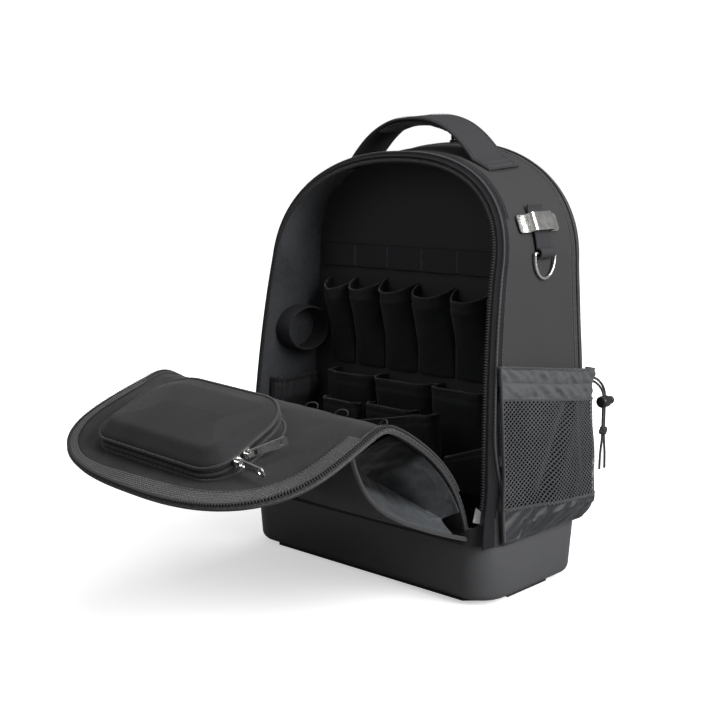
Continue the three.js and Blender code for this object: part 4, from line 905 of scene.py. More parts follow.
@dataclass(frozen=True)
class BodyForm:
    """The arched body: an arch in front view whose front and back faces lean and crown. Sizes in mm."""

    hem_z: float = 63.0
    cloth: float = 2.1
    tub_width: float = 340.0
    tub_corner: float = 32.0
    spring_half: float = 156.6
    spring_z: float = 322.3
    front_top: float = 437.2
    back_top: float = 448.8
    power: float = 2.308
    side_share: float = 5 / 28
    side_power: float = 1.5
    fit: float = 0.3

    @property
    def height(self) -> float:
        """Height of the front arch over the hem."""
        return self.front_top - self.hem_z

    def up(self, share: float) -> float:
        """Height at a share of the body's height."""
        return self.hem_z + share * self.height

    def across(self, share: float) -> float:
        """Distance from the middle at a share of the half width."""
        return share * self.spring_half

    def front_y(self, z: float) -> float:
        """Depth of the front face at a height."""
        share = (z - self.hem_z) / self.height
        step = -4.35 * (1 - smooth((z - self.hem_z) / 45))
        return -82.5 + 0.045 * (z - self.hem_z) + 41.1 * share ** 3 + step

    def back_y(self, z: float) -> float:
        """Depth of the back face at a height."""
        share = (z - self.hem_z) / self.height
        step = 9.65 * (1 - smooth((z - self.hem_z) / 60))
        return 96.5 - 0.03 * (z - self.hem_z) + 7.2 * share ** 3 - step

    def wall_half(self, z: float) -> float:
        """Half width of the straight walls at a height."""
        hem_half = self.tub_width / 2 + self.fit + self.cloth
        return lerp(hem_half, self.spring_half, (z - self.hem_z) / (self.spring_z - self.hem_z))

    def front_corner(self, z: float) -> float:
        """Radius of the front corner at a height."""
        return lerp(self.tub_corner + self.cloth, 8.0, smooth((z - self.hem_z) / 110))

    def back_corner(self, z: float) -> float:
        """Radius of the back corner at a height."""
        return lerp(self.tub_corner + self.cloth, 14.0, smooth((z - self.hem_z) / 80))

    def lip_width(self, z: float) -> float:
        """Width of the front lip at a height."""
        return lerp(6.0, 3.5, smooth((z - 93) / 29))

    def arch_point(self, t: float, top: float, inset: float = 0.0) -> tuple[float, float]:
        """Point of the arch's outline, from the right hem over the top to the left hem."""
        side = 1 if t < 0.5 else -1
        k = 1 - abs(2 * t - 1)
        if k <= 2 * self.side_share:
            z = lerp(self.hem_z, self.spring_z, (k / (2 * self.side_share)) ** self.side_power)
            return side * (self.wall_half(z) - inset), z
        angle = (k - 2 * self.side_share) / (1 - 2 * self.side_share) * math.pi / 2
        x = (self.spring_half - inset) * abs(math.cos(angle)) ** (2 / self.power)
        rise = (top - self.spring_z - inset) * abs(math.sin(angle)) ** (2 / self.power)
        return side * x, self.spring_z + rise

    def point(self, t: float, y_of: Callable[[float], float],
              inset_of: Callable[[float, float], float]) -> list[float]:
        """Point of the body at an arch share and depth, some way inside the outer face."""
        height = self.arch_point(t, self.front_top)[1]
        near, far = self.front_y(height), self.back_y(height)
        y = y_of(height)
        top = lerp(self.front_top, self.back_top, (y - near) / (far - near))
        x, z = self.arch_point(t, top, inset_of(height, y))
        return [x, y, z]

    def roof_z(self, x: float, y: float) -> float:
        """Height of the body's top over a place."""
        lift = (1 - min(abs(x) / self.spring_half, 1) ** self.power) ** (1 / self.power)
        height = lerp(self.spring_z, self.front_top, lift)
        near, far = self.front_y(height), self.back_y(height)
        top = lerp(self.front_top, self.back_top, (y - near) / (far - near))
        return lerp(self.spring_z, top, lift)

    def wall_x(self, y: float, z: float) -> float:
        """Distance of the wall from the middle at a depth and height."""
        if z <= self.spring_z:
            return self.wall_half(z)
        low, high = 0.0, self.spring_half
        for _ in range(30):
            middle = (low + high) / 2
            if self.roof_z(middle, y) > z:
                low = middle
            else:
                high = middle
        return low

    def wall_normal(self, y: float, z: float) -> Vector:
        """Direction out of the right wall."""
        slope = (self.wall_x(y, z + 1) - self.wall_x(y, z - 1)) / 2
        return Vector((1, 0, -slope)).normalized()

    def front_inset(self, z: float, y: float) -> float:
        """How far the wall has curved in near the front corner."""
        radius = self.front_corner(z)
        over = self.front_y(z) + radius - y
        return 0.0 if over <= 0 else radius - math.sqrt(max(radius * radius - over * over, 0))

    def rear_inset(self, z: float, y: float) -> float:
        """How far the wall has curved in near the back corner."""
        radius = self.back_corner(z)
        over = y - (self.back_y(z) - radius)
        return 0.0 if over <= 0 else radius - math.sqrt(max(radius * radius - over * over, 0))

    def side_x(self, y: float, z: float) -> float:
        """Distance of the outer face from the middle, corners included."""
        return self.wall_x(y, z) - self.front_inset(z, y) - self.rear_inset(z, y)

    def lip_place(self, height: float, k: float) -> tuple[float, float]:
        """Inset and depth from the lip's edge round the front corner to the flat wall."""
        radius = self.front_corner(height)
        edge = self.lip_width(height)
        flat = max(edge - radius, 0)
        start = math.asin(1 - edge / radius) if edge < radius else 0.0
        travel = k * (flat + radius * (math.pi / 2 - start))
        if travel <= flat:
            return edge - travel, self.front_y(height)
        angle = start + (travel - flat) / radius
        return radius * (1 - math.sin(angle)), self.front_y(height) + radius * (1 - math.cos(angle))

    def rear_place(self, height: float, k: float) -> tuple[float, float]:
        """Inset and depth from the rear zip round the back corner onto the back face."""
        radius = self.back_corner(height)
        corner_y = self.back_y(height) - radius
        zip_end = self.back_y(height) - 17
        over = clamp((zip_end - corner_y) / radius)
        start_y = zip_end + 4 * self.fit + (self.cloth + 2 * self.fit) * over
        flat = max(corner_y - start_y, 0)
        start = math.asin(clamp((start_y - corner_y) / radius))
        arc = radius * (math.pi / 2 - start)
        travel = k * (flat + arc + max(25, radius + 1) - radius)
        if travel <= flat:
            return 0.0, start_y + travel
        if travel <= flat + arc:
            angle = start + (travel - flat) / radius
            return radius * (1 - math.cos(angle)), corner_y + radius * math.sin(angle)
        return radius + travel - flat - arc, self.back_y(height)

    def path(self, inset: float, y_shift: float, lip: Optional[float] = None, steps: int = 240,
             low: float = 0.0, lift: float = 0.0, behind: Optional[float] = None) -> tuple[list, list]:
        """Line round the arch on the cloth, with the direction out of it at each point.

        Args:
            inset: how far inside the outer face the line lies.
            y_shift: depth added to the line's place.
            lip: place on the lip from 0 at its edge to 1 at the wall, or None for a line on the wall.
            steps: points along the line.
            low: share of the arch left out at each end.
            lift: how far the line stands off the cloth.
            behind: distance before the back face, for a line near the rear zip.

        Returns:
            The points in mm and the directions.
        """
        points, ups = [], []
        for k in range(steps + 1):
            t = lerp(low, 1 - low, k / steps)

            def spot(stand: float, t: float = t) -> list[float]:
                height = self.arch_point(t, self.front_top)[1]
                if behind is not None:
                    y = self.back_y(height) - behind
                    return self.point(t, lambda h: y, lambda h, d: self.rear_inset(h, d) + inset - stand)
                if lip is not None:
                    edge, y = self.lip_place(height, lip)
                    return self.point(t, lambda h: y + y_shift, lambda h, d: edge + inset - stand)
                y = self.front_y(height) + self.front_corner(height) + y_shift
                return self.point(t, lambda h: y, lambda h, d: inset - stand)

            base = spot(lift)
            over = spot(lift + 1)
            points.append(base)
            ups.append(Vector([b - a for a, b in zip(base, over)]).normalized())
        return points, ups


BODY = BodyForm()


class Spine:
    """Side view of a panel that follows a table of slopes."""

    def __init__(self, slopes: Sequence[tuple[float, float]], length: float,
                 start: tuple[float, float]) -> None:
        """Walks the slopes from the start.

        Args:
            slopes: share of the length and slope in degrees above level.
            length: the panel's length in mm.
            start: depth and height of its first point.
        """
        self.length = length
        self.samples = 240
        self.points = [start]
        for k in range(self.samples):
            share = (k + 0.5) / self.samples
            nxt = next(i for i, row in enumerate(slopes) if row[0] > share)
            (low_at, low), (high_at, high) = slopes[nxt - 1], slopes[nxt]
            slope = math.radians(lerp(low, high, (share - low_at) / (high_at - low_at)))
            y, z = self.points[k]
            run = length / self.samples
            self.points.append((y - math.cos(slope) * run, z + math.sin(slope) * run))

    def at(self, s: float) -> tuple[float, float]:
        """Depth and height at a length along the panel."""
        place = clamp(s / self.length) * self.samples
        k = min(int(place), self.samples - 1)
        a, b = self.points[k], self.points[k + 1]
        return lerp(a[0], b[0], place - k), lerp(a[1], b[1], place - k)


@dataclass
class CoverForm:
    """The front cover: it rises from its sewn foot, folds over a crest and droops. Sizes in mm."""

    half: float = 145.0
    crest_half: float = 155.0
    full_half: float = 158.0
    length: float = 362.0
    crest: float = 190.0
    round_rise: float = 108.0
    power: float = 2.6
    thickness: float = 4.0
    tilt: float = 0.042
    zip_width: float = 7.0
    strip_top: float = 78.0
    slopes: tuple = ((0, 72), (0.1, 61), (0.2, 49), (0.3, 39.5), (0.42, 31.5), (0.49, 24), (0.525, 0),
                     (0.56, -19), (0.75, -20.5), (1.0001, -19))

    def __post_init__(self) -> None:
        """Sets the foot and the side view."""
        y = BODY.front_y(self.strip_top) + BODY.cloth
        z = self.strip_top + BODY.fit + self.thickness * math.cos(math.radians(self.slopes[0][1]))
        self.spine = Spine(self.slopes, self.length, (y, z))

    def point(self, x: float, s: float) -> list[float]:
        """Point of the cover's upper face at x and a length from the foot."""
        y, z = self.spine.at(s)
        return [x, y, z - self.tilt * x * smooth(s / self.crest)]

    def normal(self, x: float, s: float) -> Vector:
        """Direction out of the upper face."""
        across = Vector(self.point(x + 1, s)) - Vector(self.point(x - 1, s))
        along = Vector(self.point(x, min(s + 1, self.length))) - Vector(self.point(x, max(s - 1, 0)))
        found = along.cross(across).normalized()
        return -found if found.z < 0 else found

    def over(self, x: float, s: float, height: float) -> list[float]:
        """Point at a height over the upper face."""
        return list(Vector(self.point(x, s)) + self.normal(x, s) * height)

    def outline(self, q: float, inset: float) -> tuple[float, float]:
        """Half width and length at a share of the half outline from foot to tip."""
        straight = self.length - self.round_rise
        if q <= 0.55:
            s = straight * q / 0.55
            if s < self.crest:
                half = lerp(self.half, self.crest_half, s / self.crest)
            else:
                half = lerp(self.crest_half, self.full_half,
                            smooth((s - self.crest) / (straight - self.crest)))
            return half - inset, s
        angle = (q - 0.55) / 0.45 * math.pi / 2
        return ((self.full_half - inset) * abs(math.cos(angle)) ** (2 / self.power),
                straight + (self.round_rise - inset) * abs(math.sin(angle)) ** (2 / self.power))

    def rim(self, inset: float, height: float, steps: int = 260, low: float = 0.0,
            high: float = 1.0) -> tuple[list, list]:
        """Line along the cover's edge with the direction out of it.

        Args:
            inset: how far inside the edge the line lies.
            height: how far it stands over the upper face.
            steps: points along the line.
            low: share of the whole outline at which it starts, on the right foot.
            high: share at which it ends.

        Returns:
            The points in mm and the directions.
        """
        points, ups = [], []
        for k in range(steps + 1):
            u = lerp(low, high, k / steps)
            half, s = self.outline(1 - abs(2 * u - 1), inset)
            x = half if u < 0.5 else -half
            points.append(self.over(x, s, height))
            ups.append(self.normal(x, s))
        return points, ups


COVER = CoverForm()


class SubAssembly:
    """Group of pieces that ride on one body."""

    body: str = "bag"

    def keep(self, piece: bpy.types.Object, finish: Optional[Finish], slot: str, *nodes: str,
             body: Optional[str] = None) -> bpy.types.Object:
        """Dresses a piece, lets it ride on its body and hides the nodes that it stands for.

        Args:
            piece: the piece's object.
            finish: its material, or None when it already has one.
            slot: not used.
            *nodes: CAD nodes that the piece replaces.
            body: the body that it rides on, unless it is the sub-assembly's own.

        Returns:
            The piece.
        """
        if finish is not None:
            finish.dress(piece)
        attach(piece, body or self.body)
        if nodes:
            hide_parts(*nodes)
        LOG.info("%s: %d faces", piece.name, len(piece.data.polygons) if piece.type == "MESH" else 0)
        return piece


@dataclass
class Tub(SubAssembly):
    """Moulded base with a rounded floor edge and a collar inside the cloth hem. Sizes in mm."""

    depth: float = 169.0
    height: float = 79.0
    draft: float = 3.2
    corner: float = 32.0
    wall: float = 3.0
    edge: float = 8.0
    floor_z: float = 4.3
    corner_steps: int = 14

    def ring(self, z: float, inset: float, place: Optional[float] = None) -> np.ndarray:
        """Outline of the outer wall at a height."""
        share = clamp((z - self.floor_z) / (BODY.hem_z - self.floor_z))
        half_x = BODY.tub_width / 2 - self.draft * (1 - share) - inset
        half_y = self.depth / 2 - self.draft * (1 - share) - inset
        outline = rounded_rectangle(half_x, -half_y, half_y, max(self.corner - inset, 3), self.corner_steps)
        return np.array([[x, y, z if place is None else place] for x, y in outline])

    def collar(self, z: float, extra: float) -> np.ndarray:
        """Outline of the collar at a height."""
        inset = BODY.cloth + 2 * BODY.fit + extra
        far = min(BODY.back_y(z), self.depth / 2 + BODY.cloth + BODY.fit) - inset
        outline = rounded_rectangle(BODY.wall_half(z) - inset, BODY.front_y(z) + inset, far,
                                    self.corner - extra, self.corner_steps)
        return np.array([[x, y, z] for x, y in outline])

    def shell(self) -> bpy.types.Object:
        """Outer and inner walls as one closed body."""
        rings = [self.ring(self.floor_z, self.edge, self.floor_z)]
        for k in range(1, 6):
            angle = math.radians(18 * k)
            inset = self.edge * (1 - math.sin(angle))
            z = self.floor_z + self.edge * (1 - math.cos(angle))
            rings.append(self.ring(z, inset))
        rings += [self.ring(BODY.hem_z - 1.6, 0), self.ring(BODY.hem_z - 0.7, 0.3),
                  self.ring(BODY.hem_z - 0.5, 1.0)]
        rings += [self.collar(BODY.hem_z, 0), self.collar(self.height - 0.6, 0),
                  self.collar(self.height, 0.6),
                  self.collar(self.height, self.wall - 0.6), self.collar(self.height - 0.6, self.wall),
                  self.collar(BODY.hem_z, self.wall), self.ring(self.floor_z + self.edge + 3, self.wall),
                  self.ring(self.floor_z + 6, self.wall + 1.6),
                  self.ring(self.floor_z + self.wall, self.edge + 2)]
        return loft("tub_shell", rings, sharp=35)

    def make(self) -> None:
        """Builds the tub."""
        self.keep(self.shell(), TUB_PLASTIC, "moulded", "moulded_tub")


@dataclass
class Body(SubAssembly):
    """Cloth walls, lip, zips, divider and back. Sizes in mm."""

    wall_columns: int = 150
    lip_steps: int = 10
    wall_steps: int = 22
    seam_gap: float = 1.2
    net_y: tuple = (-62.0, 95.0)
    net_z: tuple = (66.0, 214.0)
    lip_depth: float = 15.0
    teeth_low: float = 100.0
    tooth: SmallPart = field(default_factory=lambda: SmallPart("tooth_block", 1.5, 3.4, 2.3))
    coil: SmallPart = field(default_factory=lambda: SmallPart("coil_block", 1.0, 3.6, 1.2))
    stitch: SmallPart = field(default_factory=lambda: SmallPart("stitch_block", 2.3, 0.7, 0.6))

    def shell_spot(self, height: float, v: float) -> tuple[float, float]:
        """Inset and depth of the body wall from the lip to the rear zip."""
        share = self.lip_steps / (self.lip_steps + self.wall_steps)
        if v <= share:
            return BODY.lip_place(height, v / share)
        start = BODY.front_y(height) + BODY.front_corner(height)
        end = BODY.back_y(height) - 24
        y = lerp(start, end, (v - share) / (1 - share))
        return BODY.rear_inset(height, y), y

    def shell(self) -> bpy.types.Object:
        """Lip, rounded front corner and wall."""

        def surface(u: float, v: float) -> list[float]:
            inset, y = self.shell_spot(BODY.arch_point(u, BODY.front_top)[1], v)
            return BODY.point(1 - u, lambda h: y, lambda h, d: inset)

        def relief(u: float, v: float) -> float:
            x, y, z = surface(u, v)
            ease = smooth((v - 0.3) * 8) * smooth((1 - v) * 12)
            sag = 1.5 * ripple(x * 0.5, y * 1.6, z * 0.7, 60, 3.1) + 0.5 * ripple(x, y * 2, z, 22, 8.7)
            welt = 0.9 * bump(v, 1.0, 0.035)
            seam = -0.9 * bump(v, 0.335, 0.012) + 0.6 * bump(v, 0.365, 0.02)
            return min(ease * sag, 1.2) + welt + seam * smooth(v * 20)

        return Shell(surface, self.wall_columns, self.lip_steps + self.wall_steps, BODY.cloth,
                     relief).build("body_walls")

    def rear(self) -> bpy.types.Object:
        """Cloth from the rear zip round the back corner."""

        def surface(u: float, v: float) -> list[float]:
            inset, y = BODY.rear_place(BODY.arch_point(u, BODY.front_top)[1], v)
            return BODY.point(1 - u, lambda h: y, lambda h, d: inset)

        def relief(u: float, v: float) -> float:
            x, y, z = surface(u, v)
            return 0.9 * bump(v, 0.0, 0.06) + 0.5 * smooth(v * 6) * ripple(x, y, z, 40, 5.0)

        return Shell(surface, self.wall_columns, 20, BODY.cloth, relief).build("rear_walls")

    def zip_tape(self) -> bpy.types.Object:
        """Tape of the rear zip, sunk between two welts."""
        def surface(u: float, v: float) -> list[float]:
            y_of = lambda h: BODY.back_y(h) - lerp(24 - self.seam_gap, 17, v)
            return BODY.point(1 - u, y_of, lambda h, y: BODY.rear_inset(h, y) + 0.1)

        return Shell(surface, self.wall_columns, 4, 2.0).build("rear_zip_tape")

    def front_tape(self) -> bpy.types.Object:
        """Tape that stands in from the lip all round the opening."""

        def surface(u: float, v: float) -> list[float]:
            t = lerp(1 / 28, 27 / 28, u)
            height = BODY.arch_point(t, BODY.front_top)[1]
            edge, y = BODY.lip_place(height, 0)
            lean = BODY.cloth * max(1 - BODY.lip_width(height) / BODY.front_corner(height), 0)
            inset = edge + 1.4 * lean + 1.0 + v * 2.6
            return BODY.point(t, lambda h: y, lambda h, d: inset)

        return Shell(surface, self.wall_columns, 3, 1.6).build("front_zip_tape")

    def front_teeth(self) -> bpy.types.Object:
        """Teeth along the tape's free edge."""
        path, ups = [], []
        for k in range(401):
            t = lerp(1 / 28, 27 / 28, k / 400)
            height = BODY.arch_point(t, BODY.front_top)[1]
            edge, y = BODY.lip_place(height, 0)
            lean = BODY.cloth * max(1 - BODY.lip_width(height) / BODY.front_corner(height), 0)
            inset = edge + 1.4 * lean + 3.6
            if height < self.teeth_low:
                continue
            spot = BODY.point(t, lambda h: y - 0.3, lambda h, d: inset)
            path.append(spot)
            ups.append(Vector((0, -1, 0)))
        return PartRow.lay("front_zip_teeth", [(path, ups)], self.tooth, 2.7, TEETH_PLASTIC)

    def rear_teeth(self) -> bpy.types.Object:
        """Closed coil along the rear zip."""
        line = BODY.path(0.1, 0, behind=20.4, steps=500)
        return PartRow.lay("rear_zip_coil", [line], self.coil, 1.7, TEETH_PLASTIC)

    def seams(self) -> bpy.types.Object:
        """Stitch lines beside the lip's piping and the rear zip."""
        lines = [BODY.path(0, 6.0, lift=0.2, steps=300),
                 BODY.path(0.0, 0.0, behind=27.2, lift=0.6, steps=300),
                 BODY.path(0.0, 0.0, behind=13.4, lift=0.5, steps=300)]
        return PartRow.lay("wall_stitches", lines, self.stitch, 3.6, THREAD)

    def piping(self) -> list[bpy.types.Object]:
        """Round piping on the front corner and along both welts of the rear zip."""
        made = []
        for name, line, radius in (
            ("front_piping", BODY.path(-0.2, 0, lip=0.62, lift=0.2, steps=220), 1.5),
            ("rear_piping_1", BODY.path(0.0, 0, behind=24.4, lift=0.5, steps=220), 1.25),
            ("rear_piping_2", BODY.path(0.0, 0, behind=15.6, lift=0.5, steps=220), 1.25),
        ):
            made.append(tube(name, line[0], radius, 8, ups=line[1]))
        return made

    def back(self) -> list[tuple[bpy.types.Object, str]]:
        """Back panel, its pad and the divider."""
        def cross_panel(y_of: Callable[[float], float], inset: Callable[[float], float], low_z: float,
                        high_share: float = 1.0) -> Surface:
            rise = clamp((low_z - BODY.hem_z) / (BODY.spring_z - BODY.hem_z))
            low = BODY.side_share * rise ** (1 / BODY.side_power)
            high = 0.493 * high_share

            def surface(u: float, v: float) -> list[float]:
                edge = BODY.point(lerp(low, high, v), y_of, lambda h, d: inset(h))
                return [lerp(-edge[0], edge[0], u), edge[1], edge[2]]

            return surface

        reach = lambda h: max(25, BODY.back_corner(h) + 1) + 1.2 + 3 * (1 - smooth((h - BODY.hem_z) / 100))
        panel = Shell(cross_panel(lambda h: BODY.back_y(h) - BODY.cloth, reach, BODY.hem_z), 40, 60,
                      BODY.cloth)
        pad_surface = cross_panel(lambda h: BODY.back_y(h) + 0.6, lambda h: 25.0, 132, 0.9)

        def pad_thick(u: float, v: float) -> float:
            edge = smooth(min(u, 1 - u, v * 1.4, (1 - v) * 1.4) * 12)
            channel = 1 - 0.75 * (bump(v, 0.36, 0.015) + bump(v, 0.62, 0.015))
            return 8 * (0.35 + 0.65 * edge * channel)

        pad = Shell(pad_surface, 60, 90, pad_thick)

        def sag(u: float, v: float) -> float:
            return 0.8 * ripple(u * 300, v * 300, 0, 70, 1.7) * smooth(min(u, 1 - u, v, 1 - v) * 8)

        wall = Shell(cross_panel(lambda h: 20.0, lambda h: BODY.cloth + 0.9, 81), 90, 80, 3.0, sag)
        return [(panel.build("back_wall"), "back_panel"), (pad.build("back_padding"), "back_pad"),
                (wall.build("divider_wall"), "divider_panel")]

    def hem(self) -> bpy.types.Object:
        """Low strip between the hem and the cover's foot."""

        def surface(u: float, v: float) -> list[float]:
            side = 2 * u - 1
            reach = (abs(side) - 0.4) / 0.6
            z = lerp(BODY.hem_z, COVER.strip_top + 7 * clamp((reach - 0.3) / 0.7 * 2), v)
            radius = BODY.front_corner(z)
            flat = BODY.wall_half(z) - radius
            if reach <= 0:
                return [side / 0.4 * flat, BODY.front_y(z), z]
            angle = reach * math.asin((163.8 - flat) / radius)
            x = flat + radius * math.sin(angle)
            return [math.copysign(x, side), BODY.front_y(z) + radius * (1 - math.cos(angle)), z]

        def relief(u: float, v: float) -> float:
            return 0.5 * ripple(u * 300, v * 15, 0, 25, 4.4)

        return Shell(surface, 90, 4, BODY.cloth, relief).build("hem_cloth")

    def wall_zone(self, face: bpy.types.MeshPolygon) -> int:
        """Number of the wall's cloth: plain, painted shade behind the net, painted shade on the lip or
        painted light on the left inner face.
        """
        x, y, z = (c / MM for c in face.center)
        inward = face.normal.x > 0.3
        # Painted shade on the wall behind the net.
        if x > 100 and self.net_y[0] < y < self.net_y[1] and self.net_z[0] < z < self.net_z[1]:
            return 1
        # Painted shade on the lip.
        if y - BODY.front_y(z) < self.lip_depth and (x > 0 or not inward):
            return 2
        # Painted light on the left inner face.
        return 3 if x < -100 and inward else 0

    def make(self) -> None:
        """Builds the whole body."""
        walls = self.keep(self.shell(), CANVAS, "canvas", "body_shell")
        # Extra cloths of the wall: painted shade behind the net, painted shade on the lip and painted light
        # on the left inner face.
        for cloth in (NET_SHADE_CANVAS, LIP_SHADE_CANVAS, INNER_LIT_CANVAS):
            walls.data.materials.append(cloth.material())
        for face in walls.data.polygons:
            face.material_index = self.wall_zone(face)
        self.keep(self.rear(), CANVAS, "canvas", "rear_shell")
        self.keep(self.zip_tape(), TAPE, "zip_teeth", "rear_zip")
        self.keep(self.front_tape(), TAPE, "zip_teeth", "front_zip")
        self.keep(self.front_teeth(), None, "zip_teeth")
        self.keep(self.rear_teeth(), None, "zip_teeth")
        self.keep(self.seams(), None, "canvas")
        for part in self.piping():
            self.keep(part, BINDING, "canvas")
        for (part, node), finish, slot in zip(self.back(), (PAD_CLOTH, PAD_CLOTH, LINING),
                                              ("foam", "foam", "lining")):
            self.keep(part, finish, slot, node)
        self.keep(self.hem(), CANVAS, "canvas", "hem_strip")


@dataclass
class Cover(SubAssembly):
    """Padded cover with its zip tape, teeth, piping and the shallow pocket under it. Sizes in mm."""

    columns: int = 84
    rows: int = 120
    tape_width: float = 20.0
    crest_loops: tuple = ((146, 1), (96, -1), (58, -1))
    tooth: SmallPart = field(default_factory=lambda: SmallPart("cover_tooth", 1.5, 3.4, 2.4))
    stitch: SmallPart = field(default_factory=lambda: SmallPart("cover_stitch", 2.4, 0.7, 0.6))

    def panel(self) -> bpy.types.Object:
        """The padded panel."""
        inset = COVER.zip_width + 0.3

        def surface(u: float, v: float) -> list[float]:
            half, s = COVER.outline(v * 0.975, inset)
            return COVER.point(lerp(half, -half, u), s)

        def relief(u: float, v: float) -> float:
            x, y, z = surface(u, v)
            edge = smooth(min(u, 1 - u, (1 - v) * 0.8) * 16)
            waves = 0.9 * ripple(x, y, z, 55, 2.2) + 0.35 * ripple(x, y, z, 18, 6.1)
            return edge * waves - 0.8 * (1 - edge)

        return Shell(surface, self.columns, self.rows, COVER.thickness, relief).build("cover_padding")

    def border(self) -> bpy.types.Object:
        """Zip tape that closes the cover's edge."""

        def surface(u: float, v: float) -> list[float]:
            q = 1 - abs(2 * u - 1)
            half, s = COVER.outline(q, lerp(COVER.zip_width, 0, v))
            return COVER.point(half if u < 0.5 else -half, s)

        return Shell(surface, 260, 6, 3.0, rim=0.45).build("cover_border")

    def wide_tape(self) -> bpy.types.Object:
        """Ribbed tape that lies on the cover along the drooping half's edge, narrower on the left."""

        def surface(u: float, v: float) -> list[float]:
            whole = lerp(0.235, 0.765, u)
            left = smooth((whole - 0.47) / 0.12)
            width = lerp(self.tape_width, 9.0, left)
            q = 1 - abs(2 * whole - 1)
            half, s = COVER.outline(q, lerp(width, 2.2, v))
            x = half if whole < 0.5 else -half
            lift = 1.3 + 0.5 * ripple(x, s, 0, 30, 7.0) * left * (1 - v)
            return COVER.over(x, s, lift)

        return Shell(surface, 240, 8, 0.9).build("cover_wide_tape")

    def piping(self) -> list[bpy.types.Object]:
        """Doubled piping round the edge."""
        made = []
        for name, inset, height, low, high, radius in (
            ("cover_piping_1", 0.8, -2.0, 0.0, 1.0, 1.5), ("cover_piping_2", 6.6, 0.3, 0.0, 0.235, 1.5),
            ("cover_piping_3", 6.6, 0.3, 0.765, 1.0, 1.5), ("cover_piping_4", 1.2, -3.6, 0.0, 1.0, 1.5),
        ):
            path, ups = COVER.rim(inset, height, 300, low, high)
            made.append(tube(name, path, radius, 8, ups=ups))
        return made

    def teeth(self) -> bpy.types.Object:
        """Teeth along the edge of the drooping half and the rising sides."""
        lines = [COVER.rim(1.2, 1.5, 420, 0.05, 0.95)]
        return PartRow.lay("cover_zip_teeth", lines, self.tooth, 2.7, TEETH_PLASTIC)

    def stitches(self) -> bpy.types.Object:
        """Stitch lines inside the tape."""
        lines = [COVER.rim(self.tape_width - 1.4, 2.4, 320, 0.24, 0.47), COVER.rim(10.5, 0.6, 200, 0.02, 0.2),
                 COVER.rim(10.5, 0.6, 200, 0.8, 0.98)]
        return PartRow.lay("cover_stitches", lines, self.stitch, 3.6, THREAD)

    def under(self) -> bpy.types.Object:
        """Shallow pocket on the underside."""

        def surface(u: float, v: float) -> list[float]:
            x = lerp(122, -122, u)
            s = COVER.length * lerp(0.68, 0.92, v)
            return COVER.over(x, s, -(COVER.thickness + 0.3))

        def depth(u: float, v: float) -> float:
            return lerp(1.5, 12, smooth(min(u, 1 - u, v * 0.6, (1 - v) * 0.6) / 0.08))

        return Shell(surface, 60, 40, depth).build("under_pocket_cloth")

    def loops(self) -> list[bpy.types.Object]:
        """Small webbing loops that stand at the crest."""
        made = []
        for number, (x, lean) in enumerate(self.crest_loops):
            path = []
            for k in range(13):
                angle = math.pi * k / 12
                path.append(COVER.over(x + 5.5 * math.cos(angle) * lean + 3 * math.sin(angle),
                                       COVER.crest - 5 + 2 * math.cos(angle),
                                       1.0 + 5 * math.sin(angle) ** 0.8))
            made.append(tube(f"crest_loop_{number + 1}", path, 0.8, 6))
        return made

    def make(self) -> None:
        """Builds the cover."""
        self.keep(self.panel(), COVER_CLOTH, "canvas", "cover_panel")
        self.keep(self.border(), TAPE, "zip_teeth", "cover_zip")
        self.keep(self.wide_tape(), RIBBED_TAPE, "webbing")
        self.keep(self.teeth(), None, "zip_teeth")
        self.keep(self.stitches(), None, "canvas")
        for part in self.piping():
            self.keep(part, BINDING, "canvas")
        for part in self.loops():
            self.keep(part, WEBBING, "webbing")
        self.keep(self.under(), COVER_CLOTH, "canvas", "under_pocket")


